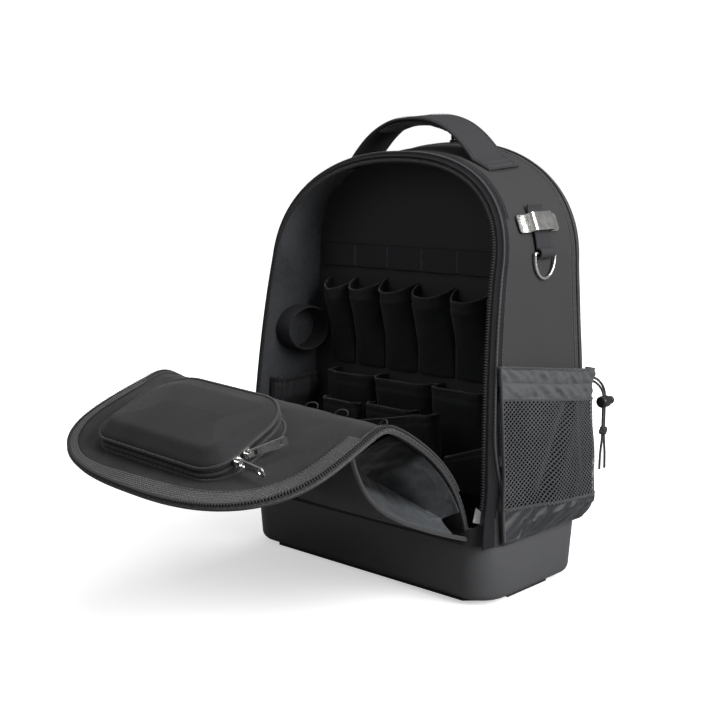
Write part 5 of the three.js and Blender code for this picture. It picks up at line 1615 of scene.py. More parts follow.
@dataclass
class Pouch(SubAssembly):
    """Outer pouch under the cover's rising half, with folded nylon gussets. Sizes in mm."""

    half: float = 147.0
    cloth: float = 3.0
    low_z: float = 67.0
    length: float = 214.0
    meet: float = 230.0
    gusset_cloth: float = 1.2
    fold: float = 52.0
    top: float = 0.74
    slopes: tuple = ((0, 19), (0.3, 22), (0.45, 24.5), (0.6, 30), (0.72, 41), (0.84, 58), (1.0001, 70))

    def __post_init__(self) -> None:
        """Sets the side view of the panel."""
        self.spine = Spine(self.slopes, self.length,
                           (BODY.front_y(self.low_z) - 0.3, self.low_z + self.cloth + 1))

    def point(self, x: float, v: float) -> list[float]:
        """Point of the panel's inner face."""
        y, z = self.spine.at(v * self.length)
        end_y, end_z = self.spine.at(self.length)
        meet = COVER.over(x, self.meet, -(COVER.thickness + 1.2))
        return [x, y + (meet[1] - end_y) * v * v, z + (meet[2] - end_z) * v * v]

    def panel(self) -> bpy.types.Object:
        """The padded outer panel."""

        def relief(u: float, v: float) -> float:
            return 1.2 * ripple(u * 290, v * 210, 0, 50, 3.3) * smooth(min(u, 1 - u, v, 1 - v) * 8)

        return Shell(lambda u, v: self.point(lerp(self.half, -self.half, u), v), 60, 70, self.cloth,
                     relief).build("pouch_front")

    def gusset(self, side: int) -> bpy.types.Object:
        """Side gusset that folds in between the pouch and the cover."""
        lift = self.gusset_cloth + 0.72

        def surface(u: float, v: float) -> list[float]:
            along = lerp(0.1, self.top, v)
            x = side * (self.half - 3)
            low = self.point(x, along)
            low[2] += lift
            high = COVER.over(x, along * self.meet, -(COVER.thickness + lift))
            fold = 1 - abs(2 * u - 1)
            fold = lerp(fold, math.sin(math.pi * fold / 2), 0.35)
            spot = [lerp(a, b, u) for a, b in zip(low, high)]
            open_share = math.sin(math.pi * clamp(along / self.top) * 0.8)
            spot[0] -= side * self.fold * fold * open_share
            return spot

        def relief(u: float, v: float) -> float:
            x, y, z = surface(u, v)
            ease = smooth(min(u, 1 - u, v, 1 - v) * 7)
            return ease * (3.2 * ripple(x, y * 0.9, z * 1.6, 34, 1.3) + 1.1 * ripple(x, y, z, 13, 9.2))

        name = "right" if side > 0 else "left"
        cloth = Shell(surface, 44, 64, self.gusset_cloth, relief, rim=0.4)
        return cloth.build(f"gusset_cloth_{name}", sharp=80)

    @staticmethod
    def shade(x: float, y: float, z: float) -> float:
        """Painted shade on the gusset's cloth: darker in the fold and under the crest, where shadow falls."""
        valley = 1 - smooth((abs(x) - 100) / 26)
        upper = smooth((z - 79.4 + 0.45 * (y + 110) - 12) / 10)
        crest = smooth((-146 - y) / 12) * upper
        return 1 - 0.93 * max(crest, valley * 0.9)

    def edges(self) -> list[bpy.types.Object]:
        """Piping along the panel's two side edges."""
        made = []
        for side, name in ((1, "right"), (-1, "left")):
            path = [self.point(side * self.half, v / 60) for v in range(1, 60)]
            path = [[x, y, z - 1.2] for x, y, z in path]
            made.append(tube(f"pouch_piping_{name}", path, 2.1, 8))
        return made

    def make(self) -> None:
        """Builds the pouch."""
        self.keep(self.panel(), COVER_CLOTH, "canvas", "pouch_panel")
        for side, name in ((1, "right"), (-1, "left")):
            cloth = self.keep(self.gusset(side), GUSSET_NYLON, "nylon", f"pouch_gusset_{name}")
            # Painted shade: each point of the gusset stores how much the fold and the crest darken it.
            shade = cloth.data.attributes.new("shade", "FLOAT", "POINT")
            for vert in cloth.data.vertices:
                shade.data[vert.index].value = self.shade(*(c / MM for c in vert.co))
        for part in self.edges():
            self.keep(part, BINDING, "canvas")


@dataclass
class Case(SubAssembly):
    """Moulded case on the cover: tray, zip band and a lid with a raised plateau. Sizes in mm."""

    half: float = 88.0
    middle: float = -9.0
    start: float = 27.0
    end: float = 134.0
    corner: float = 26.0
    back_corner: float = 43.0
    far_seam: float = 17.4
    near_seam: float = 8.6
    band: float = 5.0
    far_rise: float = 3.4
    near_rise: float = 14.0
    wall: float = 2.5
    inset: float = 17.0
    steps: int = 12

    def point(self, x: float, along: float, height: float) -> list[float]:
        """Point at a height over the cover, square to the case."""
        normal = COVER.normal(0, COVER.crest + (self.start + self.end) / 2)
        return list(Vector(COVER.point(x, COVER.crest + along)) + normal * height)

    def ring(self, inset: float, height: float | Callable[[float, float], float]) -> np.ndarray:
        """Outline of the case at an inset and height."""
        near, far = max(self.corner - inset, 2), max(self.back_corner - inset, 2)
        half, start, end = self.half - inset, self.start + inset, self.end - inset
        corners = [(half - near, end - near, near, 0), (-half + near, end - near, near, 90),
                   (-half + far, start + far, far, 180), (half - far, start + far, far, 270)]
        outline = []
        for x, y in self._filled(rounded_outline(corners, self.steps)):
            h = height(x, y) if callable(height) else height
            outline.append(self.point(x + self.middle, y, h))
        return np.array(outline)

    def _filled(self, outline: list[tuple[float, float]]) -> list[tuple[float, float]]:
        """Adds points on the straight runs between the corners."""
        filled = []
        for k, (x, y) in enumerate(outline):
            nx, ny = outline[(k + 1) % len(outline)]
            count = 8 if k % (self.steps + 1) == self.steps else 1
            filled.extend((lerp(x, nx, i / count), lerp(y, ny, i / count)) for i in range(count))
        return filled

    def share(self, along: float) -> float:
        """Share of the way from the crest side to the tip side."""
        return clamp((along - self.start) / (self.end - self.start))

    def seam(self, along: float, offset: float) -> float:
        """Height of the zip over the cover."""
        return lerp(self.far_seam, self.near_seam, self.share(along)) + offset

    def tray(self) -> bpy.types.Object:
        """Lower half with its rolled foot and a soft outward lean."""
        top = lambda x, y: self.seam(y, -self.band / 2 - 0.3)
        mid = lambda x, y: lerp(1.8, top(x, y), 0.5)
        rings = [self.ring(2, 0.3), self.ring(0.4, 0.9), self.ring(0, 1.8), self.ring(0.9, mid),
                 self.ring(0, top),
                 self.ring(self.wall, top), self.ring(self.wall, 2.6), self.ring(self.wall + 2, 2.4)]
        return loft("case_lower", rings)

    def zip_band(self) -> bpy.types.Object:
        """Zip tape between tray and lid."""
        low = lambda x, y: self.seam(y, -self.band / 2)
        high = lambda x, y: self.seam(y, self.band / 2)
        rings = [self.ring(0.8, low), self.ring(0.8, high), self.ring(3, high), self.ring(3, low)]
        return loft("case_zip_tape", rings, closed=True)

    def lid(self) -> bpy.types.Object:
        """Lid: a rim, a dished shoulder and a plateau that is highest at the tip side."""

        def level(share: float, down: float = 0.0, dish: float = 0.0) -> Callable[[float, float], float]:
            def height(x: float, y: float) -> float:
                rise = lerp(self.far_rise, self.near_rise, self.share(y))
                lift = max(share * rise - down, share * 0.4)
                return self.seam(y, self.band / 2 + 0.3) + lift - dish * self.share(y)
            return height

        outer = [(0, 0.0, 0), (0.5, 0.16, 0), (1.6, 0.30, 0.2), (4.0, 0.46, 0.5), (7.5, 0.64, 0.6),
                 (10.5, 0.80, 0.2), (13.0, 0.925, 0), (15.5, 0.985, 0), (self.inset + 2, 1.0, 0),
                 (24, 1.01, 0), (34, 1.02, 0), (46, 1.03, 0)]
        inner = [(40, 0.98), (self.inset + 2, 0.96), (13 + self.wall, 0.86), (6 + self.wall, 0.5),
                 (self.wall, 0.1)]
        rings = [self.ring(i, level(s, 0, d)) for i, s, d in reversed(outer)]
        rings.append(self.ring(self.wall, level(0.0)))
        rings += [self.ring(i, level(s, self.wall)) for i, s in reversed(inner)]
        return loft("case_upper", rings, sharp=60)

    def ribs(self) -> bpy.types.Object:
        """Teeth of the case's zip."""
        line = self.ring(0.2, lambda x, y: self.seam(y, 0.0)).tolist()
        centre = np.mean(line, axis=0)
        normal = COVER.normal(0, COVER.crest + (self.start + self.end) / 2)
        ups = []
        for k, p in enumerate(line):
            ahead = Vector(line[(k + 1) % len(line)]) - Vector(line[k - 1])
            out = ahead.cross(normal).normalized()
            ups.append(out if out.dot(Vector(p) - Vector(centre)) > 0 else -out)
        line.append(line[0])
        ups.append(ups[0])
        return PartRow.lay("case_zip_teeth", [(line, ups)], SmallPart("case_tooth", 0.9, 2.6, 1.0), 1.6,
                           TEETH_PLASTIC)

    def piping(self) -> list[bpy.types.Object]:
        """Bound edges above and below the zip and round the tray's foot."""
        made = []
        for name, inset, offset, radius in (("case_piping_top", -0.1, self.band / 2 + 0.9, 1.5),
                                            ("case_piping_low", -0.1, -self.band / 2 - 0.9, 1.5)):
            ring = self.ring(inset, lambda x, y, o=offset: self.seam(y, o))
            made.append(tube(name, ring.tolist(), radius, 8, closed=True))
        foot = self.ring(-1.6, 1.0)
        made.append(tube("case_foot_piping", foot.tolist(), 1.4, 8, closed=True))
        return made

    def make(self) -> None:
        """Builds the case."""
        self.keep(self.tray(), FOAM_CLOTH, "foam", "case_tray")
        self.keep(self.zip_band(), TAPE, "zip_teeth", "case_zip")
        self.keep(self.lid(), FOAM_CLOTH, "foam", "case_lid")
        self.keep(self.ribs(), None, "zip_teeth")
        for part in self.piping():
            self.keep(part, BINDING, "canvas")


@dataclass
class Handle(SubAssembly):
    """Wide strap that arches over the top, with a padded grip under it. Sizes in mm."""

    span: float = 84.0
    rise: float = 43.0
    width: float = 50.0
    y: float = 21.0
    strap: float = 2.6
    grip: float = 6.5
    grip_half: float = 46.0
    tab: float = 20.0

    def top(self, x: float, y: float) -> float:
        """Height of the strap's upper face."""
        seat = (0.3 + self.strap) * 1.25
        reach = abs(x) / self.span
        foot = BODY.roof_z(self.span, y) + seat
        return BODY.roof_z(x, y) + seat if reach >= 1 else foot + self.rise * (1 - reach ** 2.4)

    def surface(self, half: float, inset: float, drop: float) -> Surface:
        """Face of the strap or the grip."""

        def place(u: float, v: float) -> list[float]:
            x = lerp(-half, half, u)
            y = self.y + lerp(-1, 1, v) * (self.width / 2 - inset)
            return [x, y, self.top(x, y) - drop]

        return place

    def strap_piece(self) -> bpy.types.Object:
        """The strap."""
        surface = self.surface(self.span + self.tab, 0, 0)
        crown = lambda u, v: 0.5 * math.sin(math.pi * v) + 0.35 * ripple(u * 180, v * 40, 0, 22, 2.7)
        return Shell(surface, 140, 16, self.strap, crown).build("handle_band")

    def grip_piece(self) -> bpy.types.Object:
        """The padded grip, gathered into wrinkles at its left end."""

        def depth(u: float, v: float) -> float:
            full = self.grip * (0.45 + 0.55 * math.sin(math.pi * clamp(v, 0.02, 0.98)))
            pleat = 0.8 * bump((u * 15) % 1.0, 0.5, 0.22) * (1 - smooth((u - 0.1) / 0.7))
            return full * (0.5 + 0.5 * smooth(min(u, 1 - u) * 6)) - pleat

        return Shell(self.surface(self.grip_half, 3, self.strap * 1.2 + 0.3), 120, 20,
                     depth).build("handle_padding")

    def seams(self) -> bpy.types.Object:
        """Stitches along the strap's edges and across both feet."""
        lines = []
        for v in (0.07, 0.93):
            path = [self.surface(self.span + self.tab, 0, -0.7)(u / 120, v) for u in range(2, 119)]
            lines.append((path, [Vector((0, 0, 1))] * len(path)))
        for u in (0.012, 0.045, 0.955, 0.988):
            path = [self.surface(self.span + self.tab, 0, -0.6)(u, v / 20) for v in range(1, 20)]
            lines.append((path, [Vector((0, 0, 1))] * len(path)))
        return PartRow.lay("handle_stitches", lines, SmallPart("handle_stitch", 2.6, 0.7, 0.6), 3.8, THREAD)

    def make(self) -> None:
        """Builds the handle."""
        self.keep(self.strap_piece(), WEBBING, "webbing", "handle_strap")
        self.keep(self.grip_piece(), PAD_CLOTH, "webbing", "handle_grip")
        self.keep(self.seams(), None, "webbing")


@dataclass
class WallHardware(SubAssembly):
    """Bracket for a tape measure and a hanging ring on its tape. Sizes in mm."""

    clip_y: float = 13.5
    clip_z: float = 368.0
    length: float = 65.0
    height: float = 18.0
    ear: float = 17.0
    rise: float = 9.0
    sheet: float = 1.2
    ring_y: float = 14.5
    ring_z: float = 340.0
    tape_top: float = 384.0
    tape_width: float = 24.0
    tape_cloth: float = 1.6
    wire: float = 1.5
    ring_half: float = 17.0
    drop: float = 25.0

    def bracket(self) -> bpy.types.Object:
        """Bent strip with rounded ears, from the same profile as its solid."""
        normal = BODY.wall_normal(self.clip_y, self.clip_z)
        origin = Vector((BODY.wall_x(self.clip_y, self.clip_z), self.clip_y, self.clip_z)) + normal * 0.42
        along = Vector((0, 1, 0))
        down = along.cross(normal)
        half, mid = self.length / 2, self.length / 2 - self.ear
        profile = [(-half, 0), (-mid - 3.2, 0), (-mid - 2.0, 0.6), (-mid - 0.8, self.rise - 1.6),
                   (-mid + 0.6, self.rise - 0.3),
                   (-mid + 2.0, self.rise), (mid - 2.0, self.rise), (mid - 0.6, self.rise - 0.3),
                   (mid + 0.8, self.rise - 1.6), (mid + 2.0, 0.6), (mid + 3.2, 0), (half, 0)]
        dense = []
        for (a, h), (b, k) in zip(profile, profile[1:]):
            steps = max(2, int(abs(b - a) / 1.5))
            dense.extend((lerp(a, b, i / steps), lerp(h, k, i / steps)) for i in range(steps))
        dense.append(profile[-1])

        def surface(u: float, v: float) -> list[float]:
            a, h = dense[round(u * (len(dense) - 1))]
            end = smooth((abs(a) - half + 3.5) / 3.5)
            reach = lerp(-1, 1, v) * (self.height / 2 - 2.2 * end * end)
            return list(origin + along * a + normal * (max(h - self.sheet, 0) + self.sheet) + down * reach)

        return Shell(surface, len(dense) - 1, 10, self.sheet, rim=0.3).build("tape_bracket", sharp=38)

    def rivets(self) -> bpy.types.Object:
        """Domed rivets in the bracket's ears."""
        normal = BODY.wall_normal(self.clip_y, self.clip_z)
        along = Vector((0, 1, 0))
        base = Vector((BODY.wall_x(self.clip_y, self.clip_z), self.clip_y, self.clip_z))
        base += normal * (0.42 + self.sheet)
        parts = []
        for side in (-1, 1):
            middle = base + along * side * (self.length / 2 - self.ear / 2 + 1)
            rings = []
            for radius, height in ((3.4, 0.0), (3.4, 0.5), (3.0, 1.0), (2.0, 1.45), (1.3, 1.5), (1.1, 1.1),
                                   (0.4, 1.0)):
                ring = []
                for k in range(20):
                    angle = 2 * math.pi * k / 20
                    flat = along * radius * math.cos(angle) + along.cross(normal) * radius * math.sin(angle)
                    ring.append(middle + flat + normal * height)
                rings.append(np.array(ring))
            parts.append(loft(f"rivet_{side + 2}", rings))
        return join_meshes("bracket_rivets", parts)

    def tape(self) -> bpy.types.Object:
        """Webbing behind the bracket, curled at its top end and folded round the ring's bar."""
        spots = []
        outer = self.wire + 0.6 + self.tape_cloth
        ring_x = BODY.wall_x(self.ring_y, self.ring_z) + 0.3 + outer
        for k in range(25):
            z = lerp(self.tape_top, self.ring_z + 3, k / 24)
            normal = BODY.wall_normal(self.ring_y, z)
            stand = 0.6 + self.tape_cloth + (2.6 * (1 - k / 3) ** 2 if k < 3 else 0)
            spots.append((BODY.wall_x(self.ring_y, z) + normal.x * stand, z + normal.z * stand))
        for k in range(1, 12):
            angle = math.radians(150 - 27 * k)
            spots.append((ring_x + (outer - 0.2) * math.cos(angle),
                          self.ring_z + (outer - 0.2) * math.sin(angle)))

        def surface(u: float, v: float) -> list[float]:
            x, z = spots[round(v * (len(spots) - 1))]
            return [x, self.ring_y + lerp(-1, 1, u) * self.tape_width / 2, z]

        return Shell(surface, 24, len(spots) - 1, self.tape_cloth).build("ring_webbing")

    def make(self) -> None:
        """Builds the hardware on the right wall."""
        self.keep(self.bracket(), STEEL, "steel", "tape_clip")
        self.keep(self.rivets(), STEEL, "steel")
        self.keep(self.tape(), WEBBING, "webbing", "ring_tape")
        ring_x = BODY.wall_x(self.ring_y, self.ring_z) + 0.3 + self.wire + 0.6 + self.tape_cloth
        path = []
        for k in range(49):
            angle = math.pi * k / 48
            path.append([ring_x, self.ring_y + self.ring_half * math.cos(angle),
                         self.ring_z - self.drop * math.sin(angle) ** 0.85])
        path += [[ring_x, self.ring_y + self.ring_half * s, self.ring_z] for s in (-0.8, -0.4, 0, 0.4, 0.8)]
        self.keep(tube("steel_ring", path, self.wire, 14, closed=True), STEEL, "steel", "d_ring",
                  body="hanging_ring")


@dataclass
class NetPocket(SubAssembly):
    """Net pocket on the right wall with a gathered nylon band and hem. Sizes in mm."""

    front: float = -66.0
    rear: float = 90.0
    band_low: float = 206.0
    band_top: float = 237.0
    fall: float = 20.0
    cloth: float = 1.4
    stand: float = 4.4
    belly: float = 15.0
    hem_low: float = 66.0
    turn: float = 0.92
    columns: int = 30
    rows: int = 24
    thread: float = 0.46
    stands: tuple = ((0, 0.15, 0.44), (0.12, 0.95, 1.05), (0.3, 0.7, 0.55), (0.6, 0.5, 0.35),
                     (0.85, 0.6, 0.4), (1, 0.85, 0.65))

    def top(self, share: float) -> float:
        """Height of the band's upper edge."""
        return self.band_top - self.fall * share

    def low(self, share: float) -> float:
        """Height of the band's lower edge."""
        return self.top(share) - (self.band_top - self.band_low)

    def net_low(self, share: float) -> float:
        """Height of the net's lower edge."""
        return lerp(99, 90, share)

    def offset(self, share: float, up: float) -> float:
        """How far the pocket stands off the wall."""
        k = next((i for i, row in enumerate(self.stands) if row[0] >= up), len(self.stands) - 1)
        k = min(max(k, 1), len(self.stands) - 1)
        low, high = self.stands[k - 1], self.stands[k]
        mix = clamp((up - low[0]) / (high[0] - low[0]))
        belly = lerp(low[1], high[1], mix) * self.belly
        rear = lerp(low[2], high[2], mix) * self.belly
        if share < 0.66:
            return self.stand + belly * smooth(share / 0.66)
        return self.stand + lerp(belly, rear, smooth((share - 0.66) / 0.34))

    def point(self, across: float, z: float) -> list[float]:
        """Point of the pocket from its front seam to its rear seam."""
        share = min(across / self.turn, 1)
        y = lerp(self.front, self.rear, share)
        up = (z - self.hem_low) / (self.top(share) - self.hem_low)
        spot = [BODY.side_x(min(y, BODY.back_y(z) - 2), z) + self.offset(share, up), y, z]
        if across <= self.turn:
            return spot
        corner = BODY.back_corner(z) * (1 - math.cos(math.pi / 4))
        seam = [BODY.wall_x(0, z) - corner + 2.8, BODY.back_y(z) - corner + 2.8, z]
        k = (across - self.turn) / (1 - self.turn)
        return [lerp(a, b, k) for a, b in zip(spot, seam)]

    def panel(self, low: Callable[[float], float], high: Callable[[float], float]) -> Surface:
        """Surface between two heights."""

        def surface(u: float, v: float) -> list[float]:
            share = min(u / self.turn, 1)
            return self.point(u, lerp(low(share), high(share), v))

        return surface

    def fold(self, u: float, v: float) -> float:
        """Diagonal fold of the net, from the band's middle down to the front."""
        middle = 0.62 - 0.34 * (1 - v)
        return -3.2 * bump(u, middle, 0.05) * smooth(v * 5) + 1.6 * bump(u, middle + 0.11, 0.07)

    def net(self) -> bpy.types.Object:
        """Diamond net of round yarn, laid out as crossing threads and made solid by nodes."""
        surface = self.panel(lambda s: self.net_low(s) - 2, lambda s: self.low(s) + 2)
        points, edges, index = [], [], {}

        def spot(i: int, j: int) -> int:
            if (i, j) not in index:
                u, v = i / (2 * self.columns), j / (2 * self.rows)
                place = Vector(surface(u, v))
                place.x += self.fold(u, v) * smooth(min(u, 1 - u) * 12)
                index[(i, j)] = len(points)
                points.append(tuple(place * MM))
            return index[(i, j)]

        for i in range(2 * self.columns):
            for j in range(2 * self.rows):
                a, b = ((i, j), (i + 1, j + 1)) if (i + j) % 2 == 0 else ((i, j + 1), (i + 1, j))
                edges.append((spot(*a), spot(*b)))
        mesh = bpy.data.meshes.new("net_threads")
        mesh.from_pydata(points, edges, [])
        rail = new_object("net_threads", mesh)
        tree = bpy.data.node_groups.new("yarn_round_threads", "GeometryNodeTree")
        for label, kind in (("Geometry", "NodeSocketGeometry"), ("Yarn Radius", "NodeSocketFloat"),
                            ("Material", "NodeSocketMaterial")):
            tree.interface.new_socket(name=label, in_out="INPUT", socket_type=kind)
        tree.interface.new_socket(name="Geometry", in_out="OUTPUT", socket_type="NodeSocketGeometry")
        nodes = Nodes(tree)
        into, out = nodes.add("NodeGroupInput"), nodes.add("NodeGroupOutput")
        curve = nodes.add("GeometryNodeMeshToCurve", {0: into.outputs["Geometry"]})
        circle = nodes.add("GeometryNodeCurvePrimitiveCircle", {"Resolution": 5})
        tree.links.new(into.outputs["Yarn Radius"], circle.inputs["Radius"])
        body = nodes.add("GeometryNodeCurveToMesh")
        tree.links.new(curve.outputs[0], body.inputs[0])
        tree.links.new(circle.outputs[0], body.inputs[1])
        real = nodes.add("GeometryNodeRealizeInstances")
        tree.links.new(body.outputs[0], real.inputs[0])
        coat = nodes.add("GeometryNodeSetMaterial")
        tree.links.new(real.outputs[0], coat.inputs["Geometry"])
        tree.links.new(into.outputs["Material"], coat.inputs["Material"])
        tree.links.new(coat.outputs[0], out.inputs[0])
        modifier = rail.modifiers.new("yarn", "NODES")
        modifier.node_group = tree
        values = {"Yarn Radius": self.thread * MM, "Material": NET_YARN.material()}
        for item in tree.interface.items_tree:
            if item.in_out == "INPUT" and item.name in values:
                modifier[item.identifier] = values[item.name]
        rail.update_tag()
        bpy.context.view_layer.update()
        made = bpy.data.meshes.new_from_object(rail.evaluated_get(bpy.context.evaluated_depsgraph_get()))
        rail.modifiers.clear()
        bpy.data.objects.remove(rail)
        made.name = "side_net"
        made.shade_smooth()
        return new_object("side_net", made)

    def end_strip(self) -> bpy.types.Object:
        """Dark sheet of painted shade behind the net where it turns in to the rear seam."""

        def surface(u: float, v: float) -> list[float]:
            z = lerp(self.net_low(1) - 1, self.low(1) + 1, v)
            x, y, z = self.point(lerp(0.75, 1, u), z)
            return [x - 2.4 * (1 - 0.7 * u), y - 1.6 * u, z]

        return Shell(surface, 16, 60, 0.6).build("net_end_strip")

    def band(self) -> bpy.types.Object:
        """Gathered shiny band with two crinkled rows."""
        surface = self.panel(lambda s: self.low(s) + 0.3, self.top)

        def relief(u: float, v: float) -> float:
            ease = smooth(min(v, 1 - v) * 14)
            row = abs(math.sin(math.pi * 2 * v))
            puff = 1.3 * row ** 0.6 - 0.7 + 3.0 * ripple(u * 170 + 24 * v, v * 20, 0, 9, 1.9) * row
            fine = 1.3 * ripple(u * 170 - 9 * v, v * 26, 3, 5, 5.1) * row
            return ease * (puff + fine + 1.4 * ripple(u * 170, v * 30, 5, 22, 7.7))

        return Shell(surface, 190, 30, self.cloth, relief, rim=0.5).build("net_band_cloth", sharp=80)

    def hem(self) -> bpy.types.Object:
        """Wrinkled hem under the net."""
        surface = self.panel(lambda s: self.hem_low, self.net_low)

        def relief(u: float, v: float) -> float:
            ease = smooth(min(v, 1 - v) * 8)
            slanted = 2.6 * ripple(u * 170 - 46 * v, v * 16, 0, 13, 4.2)
            return ease * (slanted + 1.2 * ripple(u * 170, v * 30, 2, 32, 8.1))

        return Shell(surface, 150, 26, self.cloth, relief, rim=0.5).build("net_hem_cloth", sharp=80)

    def bindings(self) -> list[bpy.types.Object]:
        """Bound front seam and the band's cord edges."""
        front = [self.point(0.004, lerp(self.hem_low + 2, self.top(0) - 0.5, k / 60)) for k in range(61)]
        made = [tube("net_front_binding", [[x + 0.8, y, z] for x, y, z in front], 1.7, 8)]
        for name, height in (("net_top_cord", self.top), ("net_band_seam", self.low),
                             ("net_hem_seam", self.net_low)):
            path = []
            for k in range(121):
                u = k / 120
                x, y, z = self.point(u, height(min(u / self.turn, 1)) - 0.2)
                path.append([x + 0.2, y, z + 0.4 * ripple(u * 200, 0, 0, 8, 3.0)])
            made.append(tube(name, path, 1.2, 8))
        return made

    def make(self) -> None:
        """Builds the net pocket."""
        self.keep(self.net(), NET_YARN, "nylon", "net_panel")
        self.keep(self.band(), NYLON, "nylon", "net_band")
        self.keep(self.hem(), HEM_NYLON, "nylon", "net_hem")
        # The end strip is painted shade where the net turns in.
        self.keep(self.end_strip(), NET_SHADE_CANVAS, "nylon")
        for part in self.bindings():
            self.keep(part, BINDING, "nylon")


@dataclass
class Drawcord(SubAssembly):
    """Two strands that leave the band, pass a lock and a knot and hang side by side. Sizes in mm."""

    diameter: float = 2.6
    centre: tuple = (178.3, 101.6, 181.5)
    knot_z: float = 150.5
    first: tuple = ((168.3, 89.6, 203.5), (169.5, 92.4, 203.3), (172.2, 95.6, 201.1), (175.6, 98.5, 196.3),
                    (178, 99.9, 190.1), (178.3, 100, 183.5), (178.3, 100, 176.5), (178.3, 100, 169.5),
                    (178.3, 100, 162.5),
                    (178.3, 100, 155.5), (178.3, 100, 148.5), (178.3, 99.9, 142.5), (177.9, 99.4, 135.5),
                    (177.5, 98.8, 127.5), (177.3, 98.4, 118.5), (177.3, 98.2, 109.5))
    second: tuple = ((168.3, 89.6, 207.1), (169.8, 93.4, 206.8), (172.8, 97.8, 204.1), (176.2, 101.6, 197.9),
                     (178, 103, 190.5), (178.3, 103.2, 183.5), (178.3, 103.2, 176.5), (178.3, 103.2, 169.5),
                     (178.3, 103.2, 162.5), (178.3, 103.2, 155.5), (178.3, 103.2, 148.5),
                     (178.3, 103.8, 142.5),
                     (178.1, 105, 135.5), (177.9, 106.4, 127.5), (177.7, 107.2, 118.5), (177.7, 107.4, 109.5))

    @staticmethod
    def curve(route: Sequence[Sequence[float]], steps: int = 6) -> list[Vector]:
        """Smooth line through the route's points."""
        spots = [Vector(p) for p in route]
        line = []
        for k in range(len(spots) - 1):
            p0, p1 = spots[max(k - 1, 0)], spots[k]
            p2, p3 = spots[k + 1], spots[min(k + 2, len(spots) - 1)]
            for i in range(steps):
                t = i / steps
                line.append(0.5 * (2 * p1 + (p2 - p0) * t + (2 * p0 - 5 * p1 + 4 * p2 - p3) * t * t
                                   + (3 * p1 - p0 - 3 * p2 + p3) * t ** 3))
        return line + [spots[-1]]

    def strands(self) -> list[tuple[bpy.types.Object, list[Vector]]]:
        """Both strands, as tubes along their routes."""
        made = []
        for number, route in enumerate((self.first, self.second), 1):
            line = self.curve(route)
            piece = tube(f"cord_strand_{number}", [list(p) for p in line], self.diameter / 2, 12)
            self.keep(piece, CORD_CLOTH, "cord", f"drawcord_strand_{number}")
            made.append((piece, line))
        return made

    def knot(self) -> bpy.types.Object:
        """Overhand knot in both strands, as two interlaced turns."""
        path = []
        for k in range(97):
            angle = 2 * math.pi * k / 96
            wide = 3.3 + 0.9 * math.cos(3 * angle)
            path.append([self.centre[0] + wide * math.cos(2 * angle) * 0.75,
                         self.centre[1] + wide * math.sin(2 * angle) * 0.85,
                         self.knot_z + 2.9 * math.sin(3 * angle)])
        return tube("strand_knot", path, 1.45, 10, closed=True)

    def turned(self, name: str, profile: Sequence[tuple[float, float]], sides: int) -> bpy.types.Object:
        """Round solid along y at the lock's centre, from a radius and a place for each ring."""
        x, y, z = self.centre
        rings = []
        for radius, along in profile:
            turn = [2 * math.pi * k / sides for k in range(sides)]
            rings.append(np.array([[x + radius * math.cos(a), y + along, z + radius * math.sin(a)]
                                   for a in turn]))
        return loft(name, rings, sharp=38)

    def lock_body(self) -> bpy.types.Object:
        """Barrel of the cord lock with a ribbed waist."""
        profile = [(4.3, -7), (5.2, -6.6), (6.0, -5.6), (6.2, -4.2), (6.2, -3.2), (5.85, -2.8), (6.2, -2.4),
                   (6.2, 2.4), (5.85, 2.8), (6.2, 3.2), (6.2, 4.2), (5.8, 5.6), (5.2, 6.5), (4.6, 7),
                   (3.2, 7), (3.05, 6.6), (3.05, 3.1)]
        return self.turned("lock_barrel", profile, 28)

    def button(self) -> bpy.types.Object:
        """Press button of the cord lock."""
        profile = [(2.6, 6.7), (2.6, 9.9), (3.6, 9.9), (4.2, 10.4), (4.4, 11.2), (4.4, 12.8), (4.0, 13.8),
                   (3.0, 14.3)]
        return self.turned("lock_cap", profile, 24)

    def make(self) -> None:
        """Builds the drawcord."""
        strands = self.strands()
        knot = self.keep(self.knot(), CORD_CLOTH, "cord", "cord_knot")
        lock = self.keep(self.lock_body(), LOCK_PLASTIC, "lock", "cord_lock")
        cap = self.keep(self.button(), LOCK_PLASTIC, "lock", "cord_lock_button", body="lock_button")
        for piece, line in strands:
            path = [tuple(p * MM) for p in line]
            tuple(path[0])


@dataclass(frozen=True)
class PocketRow:
    """One pocket: edges as shares of the half width, heights as shares of the body height, depths in mm."""

    name: str
    left: float
    right: float
    low: float
    high: float
    depth: float
    square: float
    rear: float = 0.0
    tilt: float = 0.0


